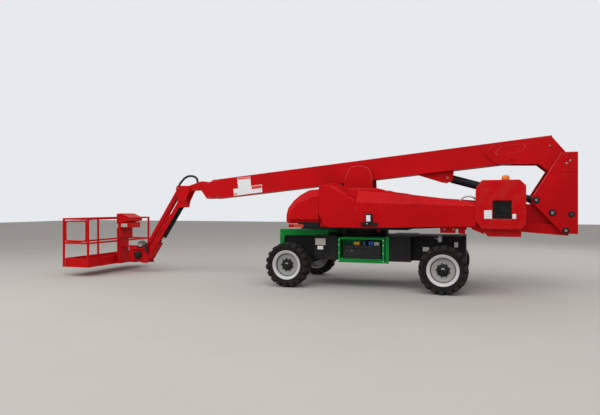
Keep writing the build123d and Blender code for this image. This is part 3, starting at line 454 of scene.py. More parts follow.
def joinUp(tree, *pairs):
    for start, end in pairs:
        tree.links.new(start, end)


def endTree(tree, source, entry, output):
    # realizes the copies and gives them the finish
    real = tree.nodes.new("GeometryNodeRealizeInstances")
    paint = tree.nodes.new("GeometryNodeSetMaterial")
    joinUp(tree, (source, real.inputs[0]), (real.outputs[0], paint.inputs["Geometry"]),
           (entry.outputs["Finish"], paint.inputs["Material"]), (paint.outputs[0], output.inputs[0]))
    return tree


def treeMath(tree, operation, first, second):
    made = tree.nodes.new("ShaderNodeMath")
    made.operation = operation
    for socket, value in zip(made.inputs, (first, second)):
        if isinstance(value, (int, float)):
            socket.default_value = value
        else:
            tree.links.new(value, socket)
    return made.outputs[0]


def ringTree():
    # copies of the shape turned about the y axis
    tree, entry, output = newTree("ringOfCopies", (("Count", "Int"), ("Phase", "Float"), ("Finish", "Material")))
    line = tree.nodes.new("GeometryNodeMeshLine")
    place = tree.nodes.new("GeometryNodeInstanceOnPoints")
    index = tree.nodes.new("GeometryNodeInputIndex")
    turn = tree.nodes.new("ShaderNodeCombineXYZ")
    step = treeMath(tree, "DIVIDE", math.tau, entry.outputs["Count"])
    angle = treeMath(tree, "ADD", treeMath(tree, "MULTIPLY", index.outputs[0], step), entry.outputs["Phase"])
    line.inputs["Offset"].default_value = (0.0, 0.0, 0.0)
    joinUp(tree, (entry.outputs["Count"], line.inputs["Count"]), (line.outputs[0], place.inputs["Points"]),
           (entry.outputs["Geometry"], place.inputs["Instance"]), (angle, turn.inputs["Y"]),
           (turn.outputs[0], place.inputs["Rotation"]))
    return endTree(tree, place.outputs[0], entry, output)


def gridTree():
    # copies of the shape in rows along two steps
    tree, entry, output = newTree("gridOfCopies", (
        ("Columns", "Int"), ("Column Step", "Vector"), ("Rows", "Int"), ("Row Step", "Vector"), ("Finish", "Material")))
    source = entry.outputs["Geometry"]
    for count, step in (("Columns", "Column Step"), ("Rows", "Row Step")):
        line = tree.nodes.new("GeometryNodeMeshLine")
        place = tree.nodes.new("GeometryNodeInstanceOnPoints")
        joinUp(tree, (entry.outputs[count], line.inputs["Count"]), (entry.outputs[step], line.inputs["Offset"]),
               (line.outputs[0], place.inputs["Points"]), (source, place.inputs["Instance"]))
        source = place.outputs[0]
    return endTree(tree, source, entry, output)


def studTree():
    # a hexagon head on a washer at each point, turned to the way the point faces
    tree, entry, output = newTree("studsOnPoints", (("Head Width", "Float"), ("Head Height", "Float"),
                                                    ("Finish", "Material")))
    facing = tree.nodes.new("GeometryNodeInputNamedAttribute")
    facing.data_type = "FLOAT_VECTOR"
    facing.inputs["Name"].default_value = "facing"
    turn = tree.nodes.new("FunctionNodeAlignRotationToVector")
    turn.axis = "Z"
    joined = tree.nodes.new("GeometryNodeJoinGeometry")
    place = tree.nodes.new("GeometryNodeInstanceOnPoints")
    for sides, width, height in ((6, 0.5, 1.0), (16, 0.68, 0.3)):
        solid = tree.nodes.new("GeometryNodeMeshCylinder")
        solid.inputs["Vertices"].default_value = sides
        shift = tree.nodes.new("GeometryNodeTransform")
        up = tree.nodes.new("ShaderNodeCombineXYZ")
        tall = treeMath(tree, "MULTIPLY", entry.outputs["Head Height"], height)
        joinUp(tree, (treeMath(tree, "MULTIPLY", entry.outputs["Head Width"], width), solid.inputs["Radius"]),
               (tall, solid.inputs["Depth"]), (treeMath(tree, "MULTIPLY", tall, 0.5), up.inputs["Z"]),
               (solid.outputs["Mesh"], shift.inputs["Geometry"]), (up.outputs[0], shift.inputs["Translation"]),
               (shift.outputs[0], joined.inputs[0]))
    joinUp(tree, (entry.outputs["Geometry"], place.inputs["Points"]), (joined.outputs[0], place.inputs["Instance"]),
           (facing.outputs[0], turn.inputs["Vector"]), (turn.outputs[0], place.inputs["Rotation"]))
    return endTree(tree, place.outputs[0], entry, output)


def hoseTree():
    # a round section swept along the curve, with capped ends
    tree, entry, output = newTree("sweptRound", (("Radius", "Float"), ("Sides", "Int"), ("Step", "Float"),
                                                 ("Finish", "Material")))
    even = tree.nodes.new("GeometryNodeResampleCurve")
    even.mode = "LENGTH"
    section = tree.nodes.new("GeometryNodeCurvePrimitiveCircle")
    sweep = tree.nodes.new("GeometryNodeCurveToMesh")
    sweep.inputs["Fill Caps"].default_value = True
    joinUp(tree, (entry.outputs["Geometry"], even.inputs["Curve"]), (entry.outputs["Step"], even.inputs["Length"]),
           (entry.outputs["Radius"], section.inputs["Radius"]), (entry.outputs["Sides"], section.inputs["Resolution"]),
           (even.outputs[0], sweep.inputs["Curve"]), (section.outputs[0], sweep.inputs["Profile Curve"]))
    return endTree(tree, sweep.outputs[0], entry, output)


def runTree(holder, tree, values, name, body, place=None, angle=40.0):
    # sets the tree's inputs, turns the result into a plain mesh and rides it on its body
    bpy.context.scene.collection.objects.link(holder)
    modifier = holder.modifiers.new("repeat", "NODES")
    modifier.node_group = tree
    for item in tree.interface.items_tree:
        if item.in_out == "INPUT" and item.name in values:
            modifier[item.identifier] = values[item.name]
    graph = bpy.context.evaluated_depsgraph_get()
    mesh = bpy.data.meshes.new_from_object(holder.evaluated_get(graph))
    bpy.data.objects.remove(holder)
    if place is not None:
        mesh.transform(place)
    mesh.shade_smooth()
    mesh.set_sharp_from_angle(angle=math.radians(angle))
    made = bpy.data.objects.new(name, mesh)
    bpy.context.scene.collection.objects.link(made)
    if body:
        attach(made, body)
    return made


def seedOf(name, bm):
    mesh = bpy.data.meshes.new(name + "Seed")
    bm.to_mesh(mesh)
    bm.free()
    return bpy.data.objects.new(name + "Seed", mesh)


copiesRing, copiesGrid, studsOn, sweptRound = ringTree(), gridTree(), studTree(), hoseTree()


def ringOf(name, bm, count, finish, body, centre, phase=0.0, angle=40.0):
    return runTree(seedOf(name, bm), copiesRing, {"Count": count, "Phase": phase, "Finish": finish}, name, body,
                   Matrix.Translation(centre), angle)


def gridOf(name, bm, columns, columnStep, rows, rowStep, finish, body, slot=None, angle=40.0):
    values = {"Columns": columns, "Column Step": columnStep, "Rows": rows, "Row Step": rowStep, "Finish": finish}
    return runTree(seedOf(name, bm), copiesGrid, values, name, body, None, angle)


def studs(name, places, width, height, finish, body):
    # places: rows of (point, way it faces), in the machine's metres
    mesh = bpy.data.meshes.new(name + "Seed")
    mesh.from_pydata([spot(*p) for p, _ in places], [], [])
    facing = mesh.attributes.new("facing", "FLOAT_VECTOR", "POINT")
    facing.data.foreach_set("vector", [v for _, way in places for v in way])
    holder = bpy.data.objects.new(name + "Seed", mesh)
    return runTree(holder, studsOn, {"Head Width": width, "Head Height": height, "Finish": finish}, name, body)


def hose(name, points, radius, finish, body, sides=14, step=0.02):
    # a smooth curve near its control points
    curve = bpy.data.curves.new(name + "Seed", "CURVE")
    curve.dimensions = "3D"
    line = curve.splines.new("NURBS")
    line.points.add(len(points) - 1)
    for point, place in zip(line.points, points):
        point.co = (*spot(*place), 1.0)
    line.order_u = 3
    line.use_endpoint_u = True
    holder = bpy.data.objects.new(name + "Seed", curve)
    return runTree(holder, sweptRound, {"Radius": radius, "Sides": sides, "Step": step, "Finish": finish}, name, body)


# shapes


def lathed(profile, segments=64):
    # turns (along y, radius) points about the y axis; a closed profile makes a closed ring
    bm = bmesh.new()
    closed = profile[0] == profile[-1]
    rows = profile[:-1] if closed else profile
    rings = []
    for y, r in rows:
        if r == 0:
            rings.append([bm.verts.new((0, y, 0))])
            continue
        rings.append([bm.verts.new((r * math.sin(math.tau * i / segments), y, r * math.cos(math.tau * i / segments)))
                      for i in range(segments)])
    pairs = list(zip(rings, rings[1:] + rings[:1])) if closed else list(zip(rings, rings[1:]))
    for first, second in pairs:
        for i in range(segments):
            j = (i + 1) % segments
            around = (first[i % len(first)], first[j % len(first)], second[j % len(second)], second[i % len(second)])
            corners = list(dict.fromkeys(around))
            if len(corners) > 2:
                bm.faces.new(corners)
    bmesh.ops.recalc_face_normals(bm, faces=bm.faces)
    return bm


def prism(outline, yFrom, yTo):
    # a flat plate with its outline in x and z
    bm = bmesh.new()
    near = [bm.verts.new(spot(x, yFrom, z)) for x, z in outline]
    far = [bm.verts.new(spot(x, yTo, z)) for x, z in outline]
    bm.faces.new(near)
    bm.faces.new(list(reversed(far)))
    for i in range(len(outline)):
        j = (i + 1) % len(outline)
        bm.faces.new([near[j], near[i], far[i], far[j]])
    bmesh.ops.recalc_face_normals(bm, faces=bm.faces)
    return bm


def slab(xRange, yRange, zRange):
    (x0, x1), z = xRange, zRange
    return prism([(x0, z[0]), (x1, z[0]), (x1, z[1]), (x0, z[1])], *yRange)


def rounded(outline, radius, steps=4):
    # the same outline with its corners rounded
    points = []
    count = len(outline)
    for i in range(count):
        before, at, after = (Vector(outline[(i + k) % count]) for k in (-1, 0, 1))
        back, ahead = (before - at), (after - at)
        cut = min(radius, back.length * 0.45, ahead.length * 0.45)
        start, end = at + back.normalized() * cut, at + ahead.normalized() * cut
        for k in range(steps + 1):
            t = k / steps
            points.append(tuple(start * (1 - t) ** 2 + at * 2 * t * (1 - t) + end * t ** 2))
    return points


def combined(*parts):
    # one bmesh from several
    whole = bmesh.new()
    for part in parts:
        mesh = bpy.data.meshes.new("part")
        part.to_mesh(mesh)
        part.free()
        whole.from_mesh(mesh)
        bpy.data.meshes.remove(mesh)
    return whole


def mirrorOf(bm):
    # adds the same shape on the machine's other side
    made = bmesh.ops.duplicate(bm, geom=bm.verts[:] + bm.edges[:] + bm.faces[:])["geom"]
    for v in made:
        if isinstance(v, bmesh.types.BMVert):
            v.co.y = -v.co.y
    bmesh.ops.reverse_faces(bm, faces=[f for f in made if isinstance(f, bmesh.types.BMFace)])
    return bm


def turned(bm, centre, way, profile=None):
    # a lathed shape moved so that its y axis points along way at the centre
    turn = Vector(way).to_track_quat("Y", "Z").to_matrix().to_4x4()
    bmesh.ops.transform(bm, matrix=Matrix.Translation(spot(*centre)) @ turn, verts=bm.verts)
    return bm


def hollowPlate(outer, inner, yFrom, yTo):
    # a flat ring between two outlines with as many points each
    bm = bmesh.new()
    rings = [[bm.verts.new(spot(x, y, z)) for x, z in outline] for y in (yFrom, yTo) for outline in (outer, inner)]
    for first, second in ((0, 1), (1, 3), (3, 2), (2, 0)):
        for i in range(len(outer)):
            j = (i + 1) % len(outer)
            bm.faces.new([rings[first][i], rings[first][j], rings[second][j], rings[second][i]])
    bmesh.ops.recalc_face_normals(bm, faces=bm.faces)
    return bm


# wheels

wheel = {
    "tyreRadius": 0.4595, "treadRadius": 0.428, "halfWidth": 0.179, "lugs": 18,
    "bead": 0.3035, "nuts": 9, "nutCircle": 0.130,
}


def tyreBody(w):
    half, tread, bead = w["halfWidth"], w["treadRadius"], w["bead"]
    side = [
        (half * 0.70, bead - 0.008), (half * 0.79, bead + 0.002), (half * 0.86, bead + 0.010),
        (half * 0.88, bead + 0.022), (half * 0.88, bead + 0.052), (half * 0.93, bead + 0.060),
        (half * 0.95, bead + 0.070), (half * 0.94, bead + 0.078), (half * 0.87, bead + 0.092),
        (half * 0.80, tread - 0.010), (half * 0.70, tread), (half * 0.40, tread + 0.003),
    ]
    profile = side + [(0.0, tread + 0.004)] + [(-y, r) for y, r in reversed(side)]
    return lathed(profile + [profile[0]], 72)


def treadLug(w, row):
    # one bar: slanted over the tread and turned down over the shoulder
    half, tread, tip = w["halfWidth"], w["treadRadius"], w["tyreRadius"]
    across = (
        # y, foot radius, top radius, middle along the tread, half length along the tread
        (-0.014, tread - 0.010, tip, 0.030, 0.026),
        (0.050, tread - 0.010, tip, 0.010, 0.032),
        (0.105, tread - 0.012, tip - 0.003, -0.010, 0.038),
        (0.150, tread - 0.034, tip - 0.008, -0.022, 0.043),
        (0.172, tread - 0.042, tip - 0.016, -0.027, 0.045),
        (0.1785, tread - 0.044, tip - 0.032, -0.029, 0.041),
    )
    bm = bmesh.new()
    rings = []
    for y, foot, top, middle, length in across:
        ring = []
        for radius, reach in ((foot, length + 0.006), (top, length), (top, -length), (foot, -length - 0.006)):
            angle = (middle + reach) / tread
            ring.append(bm.verts.new((radius * math.sin(angle), row * min(y, half), radius * math.cos(angle))))
        rings.append(ring)
    bm.faces.new(rings[0])
    bm.faces.new(list(reversed(rings[-1])))
    for first, second in zip(rings, rings[1:]):
        for i in range(4):
            j = (i + 1) % 4
            bm.faces.new([first[j], first[i], second[i], second[j]])
    bmesh.ops.recalc_face_normals(bm, faces=bm.faces)
    return softened(bm, 0.0022, 1, 35.0)


def sideBlock(w):
    # a small raised block on the sidewall, near the rim
    bead, half = w["bead"], w["halfWidth"]
    bm = bmesh.new()
    bmesh.ops.create_cube(bm, size=1.0)
    bmesh.ops.scale(bm, vec=(0.026, 0.014, 0.024), verts=bm.verts)
    bmesh.ops.translate(bm, vec=(0, half * 0.885, bead + 0.038), verts=bm.verts)
    return softened(bm, 0.002, 1)


def rimShape():
    # flange, well, tapered wall and dished disc, seen from outside at positive y
    outer = [(0.150, 0.3015), (0.153, 0.2975), (0.153, 0.2890), (0.149, 0.2840), (0.143, 0.2700), (0.136, 0.2520),
             (0.131, 0.2430), (0.124, 0.2385), (0.098, 0.2370), (0.084, 0.2330), (0.077, 0.2260), (0.0745, 0.2160),
             (0.0720, 0.2000), (0.0700, 0.1500), (0.0700, 0.1056)]
    inner = [(0.042, 0.1056), (0.046, 0.2200), (0.050, 0.2560), (-0.120, 0.2700), (-0.149, 0.2800), (-0.149, 0.3015),
             (-0.139, 0.3015), (-0.139, 0.2905), (0.139, 0.2905), (0.139, 0.3015)]
    profile = outer + inner
    return lathed(profile + [profile[0]], 72)


def hubShape():
    return lathed([(-0.099, 0.062), (-0.099, 0.104), (0.0705, 0.104), (0.0705, 0.117), (0.082, 0.117), (0.086, 0.107),
                   (0.098, 0.104), (0.104, 0.098), (0.106, 0.086),
                   (0.112, 0.083), (0.1165, 0.076), (0.1175, 0.030), (0.1135, 0.028), (0.1135, 0.0), (-0.002, 0.0),
                   (-0.002, 0.062), (-0.099, 0.062)], 40)


def nutShape(radius, low, high, ring):
    # a hexagon nut standing on the disc at the ring's radius
    bm = bmesh.new()
    sides = 6
    rings = []
    for y, r in ((low, radius * 1.25), (low + 0.003, radius * 1.25), (low + 0.003, radius), (high - 0.002, radius),
                 (high, radius * 0.82)):
        rings.append([bm.verts.new((r * math.cos(math.tau * i / sides), y, ring + r * math.sin(math.tau * i / sides)))
                      for i in range(sides)])
    bm.faces.new(rings[0])
    bm.faces.new(list(reversed(rings[-1])))
    for first, second in zip(rings, rings[1:]):
        for i in range(sides):
            j = (i + 1) % sides
            bm.faces.new([first[j], first[i], second[i], second[j]])
    bmesh.ops.recalc_face_normals(bm, faces=bm.faces)
    return bm


def buildWheels(w):
    for corner in ("front_left", "front_right", "rear_left", "rear_right"):
        low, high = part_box("rim_" + corner)
        centre = (low + high) / 2
        side = 1.0 if "left" in corner else -1.0
        body = "wheel_" + corner
        out = Matrix.Translation(centre) @ Matrix.Scale(side, 4, (0, 1, 0))

        def placed(bm):
            bmesh.ops.transform(bm, matrix=out, verts=bm.verts)
            if side < 0:
                bmesh.ops.reverse_faces(bm, faces=bm.faces)
            return bm

        # the tyre body takes the darker rubber as painted shade between the lugs
        tyre = addObject("tyreBody_" + corner, placed(tyreBody(w)), deepRubber, body, 50.0)
        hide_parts("tyre_" + corner)
        for row, phase, tag in ((1, 0.0, "Outer"), (-1, math.pi / w["lugs"], "Inner")):
            bm = treadLug(w, row)
            if side < 0:
                bmesh.ops.transform(bm, matrix=Matrix.Scale(-1, 4, (0, 1, 0)), verts=bm.verts)
                bmesh.ops.reverse_faces(bm, faces=bm.faces)
            ringOf(f"treadLugs{tag}_{corner}", bm, w["lugs"], rubber, body, centre, phase)
        bm = sideBlock(w)
        bmesh.ops.transform(bm, matrix=Matrix.Scale(side, 4, (0, 1, 0)), verts=bm.verts)
        if side < 0:
            bmesh.ops.reverse_faces(bm, faces=bm.faces)
        ringOf("sidewallBlocks_" + corner, bm, 28, rubber, body, centre, 0.0)
        # the dish in the darker rim grey, painted shade
        rim = addObject("rimDish_" + corner, placed(rimShape()), rimPaint, body, 28.0)
        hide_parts("rim_" + corner)
        hub = addObject("hubCap_" + corner, placed(hubShape()), castIron, body, 28.0)
        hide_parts("hub_" + corner)
        for name, bm, count, finish, phase in (
                ("wheelNuts_", nutShape(0.0110, 0.070, 0.096, w["nutCircle"]), w["nuts"], castIron, 0.14),
                ("capBolts_", nutShape(0.0060, 0.1160, 0.1210, 0.055), 8, castIron, 0.0),
                ("hubPlug_", nutShape(0.0130, 0.1130, 0.1195, 0.0), 1, castIron, 0.0)):
            bmesh.ops.transform(bm, matrix=Matrix.Scale(side, 4, (0, 1, 0)), verts=bm.verts)
            if side < 0:
                bmesh.ops.reverse_faces(bm, faces=bm.faces)
            ringOf(name + corner, bm, count, finish, body, centre, phase)
        valve = lathed([(0.055, 0.0045), (0.075, 0.0045), (0.078, 0.0060), (0.096, 0.0060), (0.098, 0.0)], 10)
        bmesh.ops.translate(valve, vec=(0.0, 0.0, 0.243), verts=valve.verts)
        addObject("valveStem_" + corner, placed(valve), darkSteel, body)
        # the flange ring in the lighter grey, a painted highlight over the shaded dish
        lip = lathed([(0.1530, 0.2985), (0.1540, 0.2970), (0.1540, 0.2888), (0.1500, 0.2838), (0.1440, 0.2700),
                      (0.1370, 0.2520), (0.1315, 0.2420), (0.1300, 0.2420), (0.1480, 0.2850), (0.1500, 0.2985),
                      (0.1530, 0.2985)], 72)
        addObject("rimLip_" + corner, placed(lip), lipPaint, body, 28.0)
        # a dark ring as painted shade below the step into the disc
        shadeRing = lathed([(0.0770, 0.2240), (0.0862, 0.2325), (0.0862, 0.2290), (0.0785, 0.2215), (0.0770, 0.2240)], 72)
        addObject("rimGroove_" + corner, placed(shadeRing), castIron, body, 40.0)
        mark = prism(rounded([(-0.034, 0.018), (0.034, 0.018), (0.024, 0.046), (-0.024, 0.046)], 0.008, 3), 0.1175, 0.1182)
        bmesh.ops.translate(mark, vec=(machineShift, 0, 0), verts=mark.verts)
        addObject("hubMark_" + corner, placed(mark), alloy, body)
    print("wheels made")


buildWheels(wheel)


# places on the tilted boom

boomPivot, boomSlope = (-3.763, 2.571), math.radians(5.8)


def onBoom(u, w):
    # u metres along the boom from its pivot and w above its line, as machine x and z
    return (boomPivot[0] + u * math.cos(boomSlope) + w * math.sin(boomSlope),
            boomPivot[1] - u * math.sin(boomSlope) + w * math.cos(boomSlope))


def boomPlate(corners, yFrom, yTo):
    return prism([onBoom(*corner) for corner in corners], yFrom, yTo)


def made(name, bm, finish, body, width=0.002, slot=None, segments=2):
    return addObject(name, softened(bm, width, segments), finish, body, even=True)


# blank boards and labels

labels = (
    # name, outline corners in x and z or along the boom, face y, finish, body, on the boom
    ("boardWhite", [(6.29, 0.055), (6.29, 0.232), (6.556, 0.232), (6.556, 0.447), (6.886, 0.455), (6.886, 0.21),
                    (7.01, 0.21), (7.01, 0.045)], 0.2000, whiteFilm, "boom_base", True),
    ("boardRedTop", [(6.566, 0.402), (6.566, 0.438), (6.876, 0.446), (6.876, 0.410)], 0.2012, redFilm,
     "boom_base", True),
    ("boardRedSide", [(6.300, 0.150), (6.300, 0.222), (6.546, 0.222), (6.546, 0.150)], 0.2012, redFilm,
     "boom_base", True),
    ("boardOrange", [(6.930, 0.055), (6.930, 0.110), (6.998, 0.110), (6.998, 0.055)], 0.2012, orangeFilm,
     "boom_base", True),
    ("weightLabelFront", [(-2.275, 1.434), (-2.275, 1.588), (-2.408, 1.588), (-2.408, 1.434)], 1.2000, whiteFilm,
     "turntable", False),
    ("weightLabelRear", [(-2.752, 1.436), (-2.752, 1.522), (-2.813, 1.522), (-2.813, 1.436)], 1.2000, whiteFilm,
     "turntable", False),
    ("controlLabel", [(-0.113, 1.368), (-0.113, 1.488), (-0.194, 1.488), (-0.194, 1.368)], 1.2360, whiteFilm,
     "turntable", False),
    ("chassisLabelRear", [(-1.125, 0.759), (-1.125, 0.844), (-1.248, 0.847), (-1.248, 0.762)], 0.5460, whiteFilm,
     "chassis", False),
    ("axleLabelRear", [(-1.732, 0.856), (-1.732, 0.954), (-1.802, 0.954), (-1.802, 0.856)], 0.5460, whiteFilm,
     "chassis", False),
    ("chassisLabelFront", [(0.979, 0.771), (0.979, 0.842), (0.859, 0.842), (0.859, 0.771)], 0.8800, whiteFilm,
     "chassis", False),
)
labelThickness = 0.0012
for name, corners, face, finish, body, tilted in labels:
    outline = [onBoom(*corner) for corner in corners] if tilted else corners
    addObject(name, prism(outline, face, face + labelThickness), finish, body)


# pins: a seat ring and a bright end with a chamfer; a black seat ring is painted shade for the dark recess round the
# pin

pinEnds = (
    # machine x, z, outer face y, pin radius, body, finish of the ring and of the end
    # black seat rings: painted shade for the recess round each pin
    (-3.510, 1.535, 0.350, 0.038, "upright", blackPaint, pinSteel),
    (-3.740, 1.200, 0.350, 0.036, "upright", blackPaint, pinSteel),
    (-3.232, 1.780, 0.350, 0.038, "upright", blackPaint, pinSteel),
    (-3.836, 1.508, 0.350, 0.032, "upright", blackPaint, darkSteel),
    (-3.763, 2.571, 0.350, 0.050, "upright", redPaint, redPaint),
    (-3.481, 2.825, 0.230, 0.022, "boom_base", redPaint, pinSteel),
    (-2.797, 2.577, 0.230, 0.018, "boom_base", redPaint, redPaint),
    (-1.580, 2.253, 0.090, 0.030, "boom_base", redPaint, pinSteel),
    # black seat ring: painted shade for the recess round the pin
    (0.450, 1.835, 0.380, 0.038, "turntable", blackPaint, pinSteel),
    (4.490, 2.100, 0.135, 0.034, "level_bracket", redPaint, redPaint),
    (4.750, 2.110, 0.135, 0.022, "level_bracket", redPaint, pinSteel),
    (4.710, 1.800, 0.135, 0.022, "level_bracket", redPaint, darkSteel),
    (5.710, 0.630, 0.135, 0.022, "platform_support", redPaint, darkSteel),
    (5.670, 0.320, 0.135, 0.022, "platform_support", redPaint, darkSteel),
)


def pinEnd(x, z, face, radius, side):
    ring = lathed([(face, radius * 0.7), (face + 0.006, radius * 0.7), (face + 0.010, radius * 1.05),
                   (face + 0.010, radius * 1.60), (face, radius * 1.75), (face, radius * 0.7)], 36)
    end = lathed([(face, radius * 0.80), (face + 0.014, radius * 0.80), (face + 0.018, radius * 0.66),
                  (face + 0.018, radius * 0.30), (face + 0.013, radius * 0.22), (face + 0.013, 0.0)], 36)
    for bm in (ring, end):
        bmesh.ops.translate(bm, vec=spot(x, 0, z), verts=bm.verts)
        if side < 0:
            bmesh.ops.scale(bm, vec=(1, -1, 1), verts=bm.verts)
            bmesh.ops.reverse_faces(bm, faces=bm.faces)
    return ring, end


def buildPins(rows):
    for index, (x, z, face, radius, body, seat, tip) in enumerate(rows):
        for side, tag in ((1, "Left"), (-1, "Right")):
            ring, end = pinEnd(x, z, face, radius, side)
            addObject(f"pinSeat{index}{tag}", ring, seat, body, 30.0)
            addObject(f"pinEnd{index}{tag}", end, tip, body, 30.0)
    print("pins made")


buildPins(pinEnds)


# marks on the upright and the boom

def buildUprightMarks():
    for side, tag in ((1, "Left"), (-1, "Right")):
        def at(bm):
            if side < 0:
                bmesh.ops.scale(bm, vec=(1, -1, 1), verts=bm.verts)
                bmesh.ops.reverse_faces(bm, faces=bm.faces)
            return bm

        keeper = prism(rounded([(-3.728, 2.452), (-3.715, 2.466), (-3.835, 2.552), (-3.848, 2.538)], 0.006, 3),
                       0.350, 0.362)
        made("pinKeeper" + tag, at(keeper), redPaint, "upright", 0.002)
        # a dark hook plate as painted shade for the hooked recess above the pivot pin
        hook = prism(rounded([(-3.690, 2.640), (-3.700, 2.655), (-3.735, 2.635), (-3.775, 2.655), (-3.830, 2.600),
                              (-3.822, 2.590), (-3.775, 2.635), (-3.735, 2.615)], 0.005, 2), 0.350, 0.358)
        made("pinHook" + tag, at(hook), darkSteel, "upright", 0.0015)
        made("uprightWeld" + tag, at(slab((-3.944, -3.612), (0.350, 0.358), (2.314, 2.330))), redPaint, "upright",
             0.001)
    places = [((x, 0.362, z), (0, 1, 0)) for x, z in ((-3.748, 2.477), (-3.815, 2.526))]
    studs("keeperBolts", places + [((x, -y, z), (0, -1, 0)) for (x, y, z), _ in places], 0.018, 0.008, zinc, "upright")


buildUprightMarks()

slotOutline = [(-2.491, 2.724), (-2.529, 2.674), (-2.929, 2.728), (-3.016, 2.753), (-3.055, 2.835), (-3.016, 2.883),
               (-2.608, 2.851)]
slotRound = ((-3.243, 2.811), 0.094, 0.050)


def shrunk(outline, share):
    middle = (sum(x for x, _ in outline) / len(outline), sum(z for _, z in outline) / len(outline))
    return [(middle[0] + (x - middle[0]) * share, middle[1] + (z - middle[1]) * share) for x, z in outline]


def buildTailMarks():
    # the pressed slot, the round spot and the weld beads on the tail plates and the upright; the slot rims, the beads
    # and the hook rod take a lighter red as painted highlight, and dark slabs are painted shade in the keeper slots
    soft = rounded(slotOutline, 0.020, 4)
    rim = hollowPlate(soft, shrunk(soft, 0.955), 0.230, 0.2335)
    (x, z), wide, tall = slotRound
    spotOutline = [(x + wide * math.cos(math.tau * i / 28), z + tall * math.sin(math.tau * i / 28)) for i in range(28)]
    ring = hollowPlate(spotOutline, shrunk(spotOutline, 0.93), 0.230, 0.2325)
    # the slot rims in lighter red: painted highlight on the slot's edge
    made("slotRims", mirrorOf(rim), edgeRed, "boom_base", 0.001)
    made("slotSpots", mirrorOf(ring), redPaint, "boom_base", 0.001)
    for side, tag in ((1, "Left"), (-1, "Right")):
        # weld bead and upright front edge in lighter red: painted highlight along lit edges
        hose("tailWeld" + tag, [(-2.509, side * 0.203, 2.916), (-2.400, side * 0.203, 2.812),
                                (-2.297, side * 0.203, 2.711), (-2.400, side * 0.203, 2.618),
                                (-2.515, side * 0.203, 2.515)], 0.0065, edgeRed, "boom_base", 8, 0.03)
        hose("uprightEdge" + tag, [(-3.178, side * 0.350, 1.862), (-3.262, side * 0.350, 2.000),
                                   (-3.352, side * 0.350, 2.152), (-3.503, side * 0.350, 2.402),
                                   (-3.668, side * 0.350, 2.672)], 0.0085, edgeRed, "upright", 8, 0.03)
    # the hook rod in lighter red: a painted highlight on the keeper bar
    hook = hose("hookRod", [(-3.733, 0.356, 2.419), (-3.790, 0.356, 2.480), (-3.845, 0.356, 2.541)], 0.007, edgeRed,
                "upright", 8)
    # dark slabs as painted shade in the keeper slots
    for x, z in ((-3.745, 2.560), (-3.790, 2.575)):
        made("keeperSlot" + str(int(-x * 1000)), slab((x - 0.022, x + 0.022), (0.350, 0.3535), (z - 0.007, z + 0.007)),
             castIron, "upright", 0.001)


buildTailMarks()

wearPadBolts = [(x, w) for x in (7.40, 7.47) for w in (0.075, 0.445)]
studs("baseCollarBolts", [((onBoom(u, w)[0], side * 0.200, onBoom(u, w)[1]), (0, side, 0))
                          for u, w in wearPadBolts for side in (1, -1)], 0.015, 0.007, pinSteel, "boom_base")
studs("baseCollarTopBolts", [((onBoom(u, 0.482)[0], y, onBoom(u, 0.482)[1]), (math.sin(boomSlope), 0,
                                                                             math.cos(boomSlope)))
                             for u in (7.40, 7.47) for y in (-0.12, 0.12)], 0.015, 0.007, pinSteel, "boom_base")
headBolts = [(u, w) for u in (7.66, 7.71) for w in (0.090, 0.420)]
studs("headBolts", [((onBoom(u, w)[0], side * 0.160, onBoom(u, w)[1]), (0, side, 0))
                    for u, w in headBolts for side in (1, -1)], 0.015, 0.007, pinSteel, "boom_fly")


# hoses and pipes

headHose = hose("headHose", [(4.288, 0, 2.215), (4.285, 0, 2.300), (4.335, 0, 2.372), (4.430, 0, 2.410),
                             (4.560, 0, 2.405), (4.665, 0, 2.350), (4.745, 0, 2.262), (4.800, 0, 2.200),
                             (4.812, 0, 2.120)], 0.0270, hoseRubber, None)
spot(4.36, 0, 2.2)
spot(4.72, 0, 2.2)
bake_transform(headHose)
hose("coverPipe", [(-1.80, 0.30, 1.70), (-1.84, 0.30, 1.79), (-1.92, 0.30, 1.855), (-2.01, 0.30, 1.868),
                   (-2.10, 0.30, 1.84), (-2.16, 0.30, 1.77), (-2.19, 0.30, 1.68)], 0.018, zinc, "turntable")


# boxes, batteries and wires in the chassis bays

chassisBox = {"x": (0.803, 1.020), "z": (0.861, 0.999), "face": 0.880, "depth": 0.022}
batteryTop = 0.869


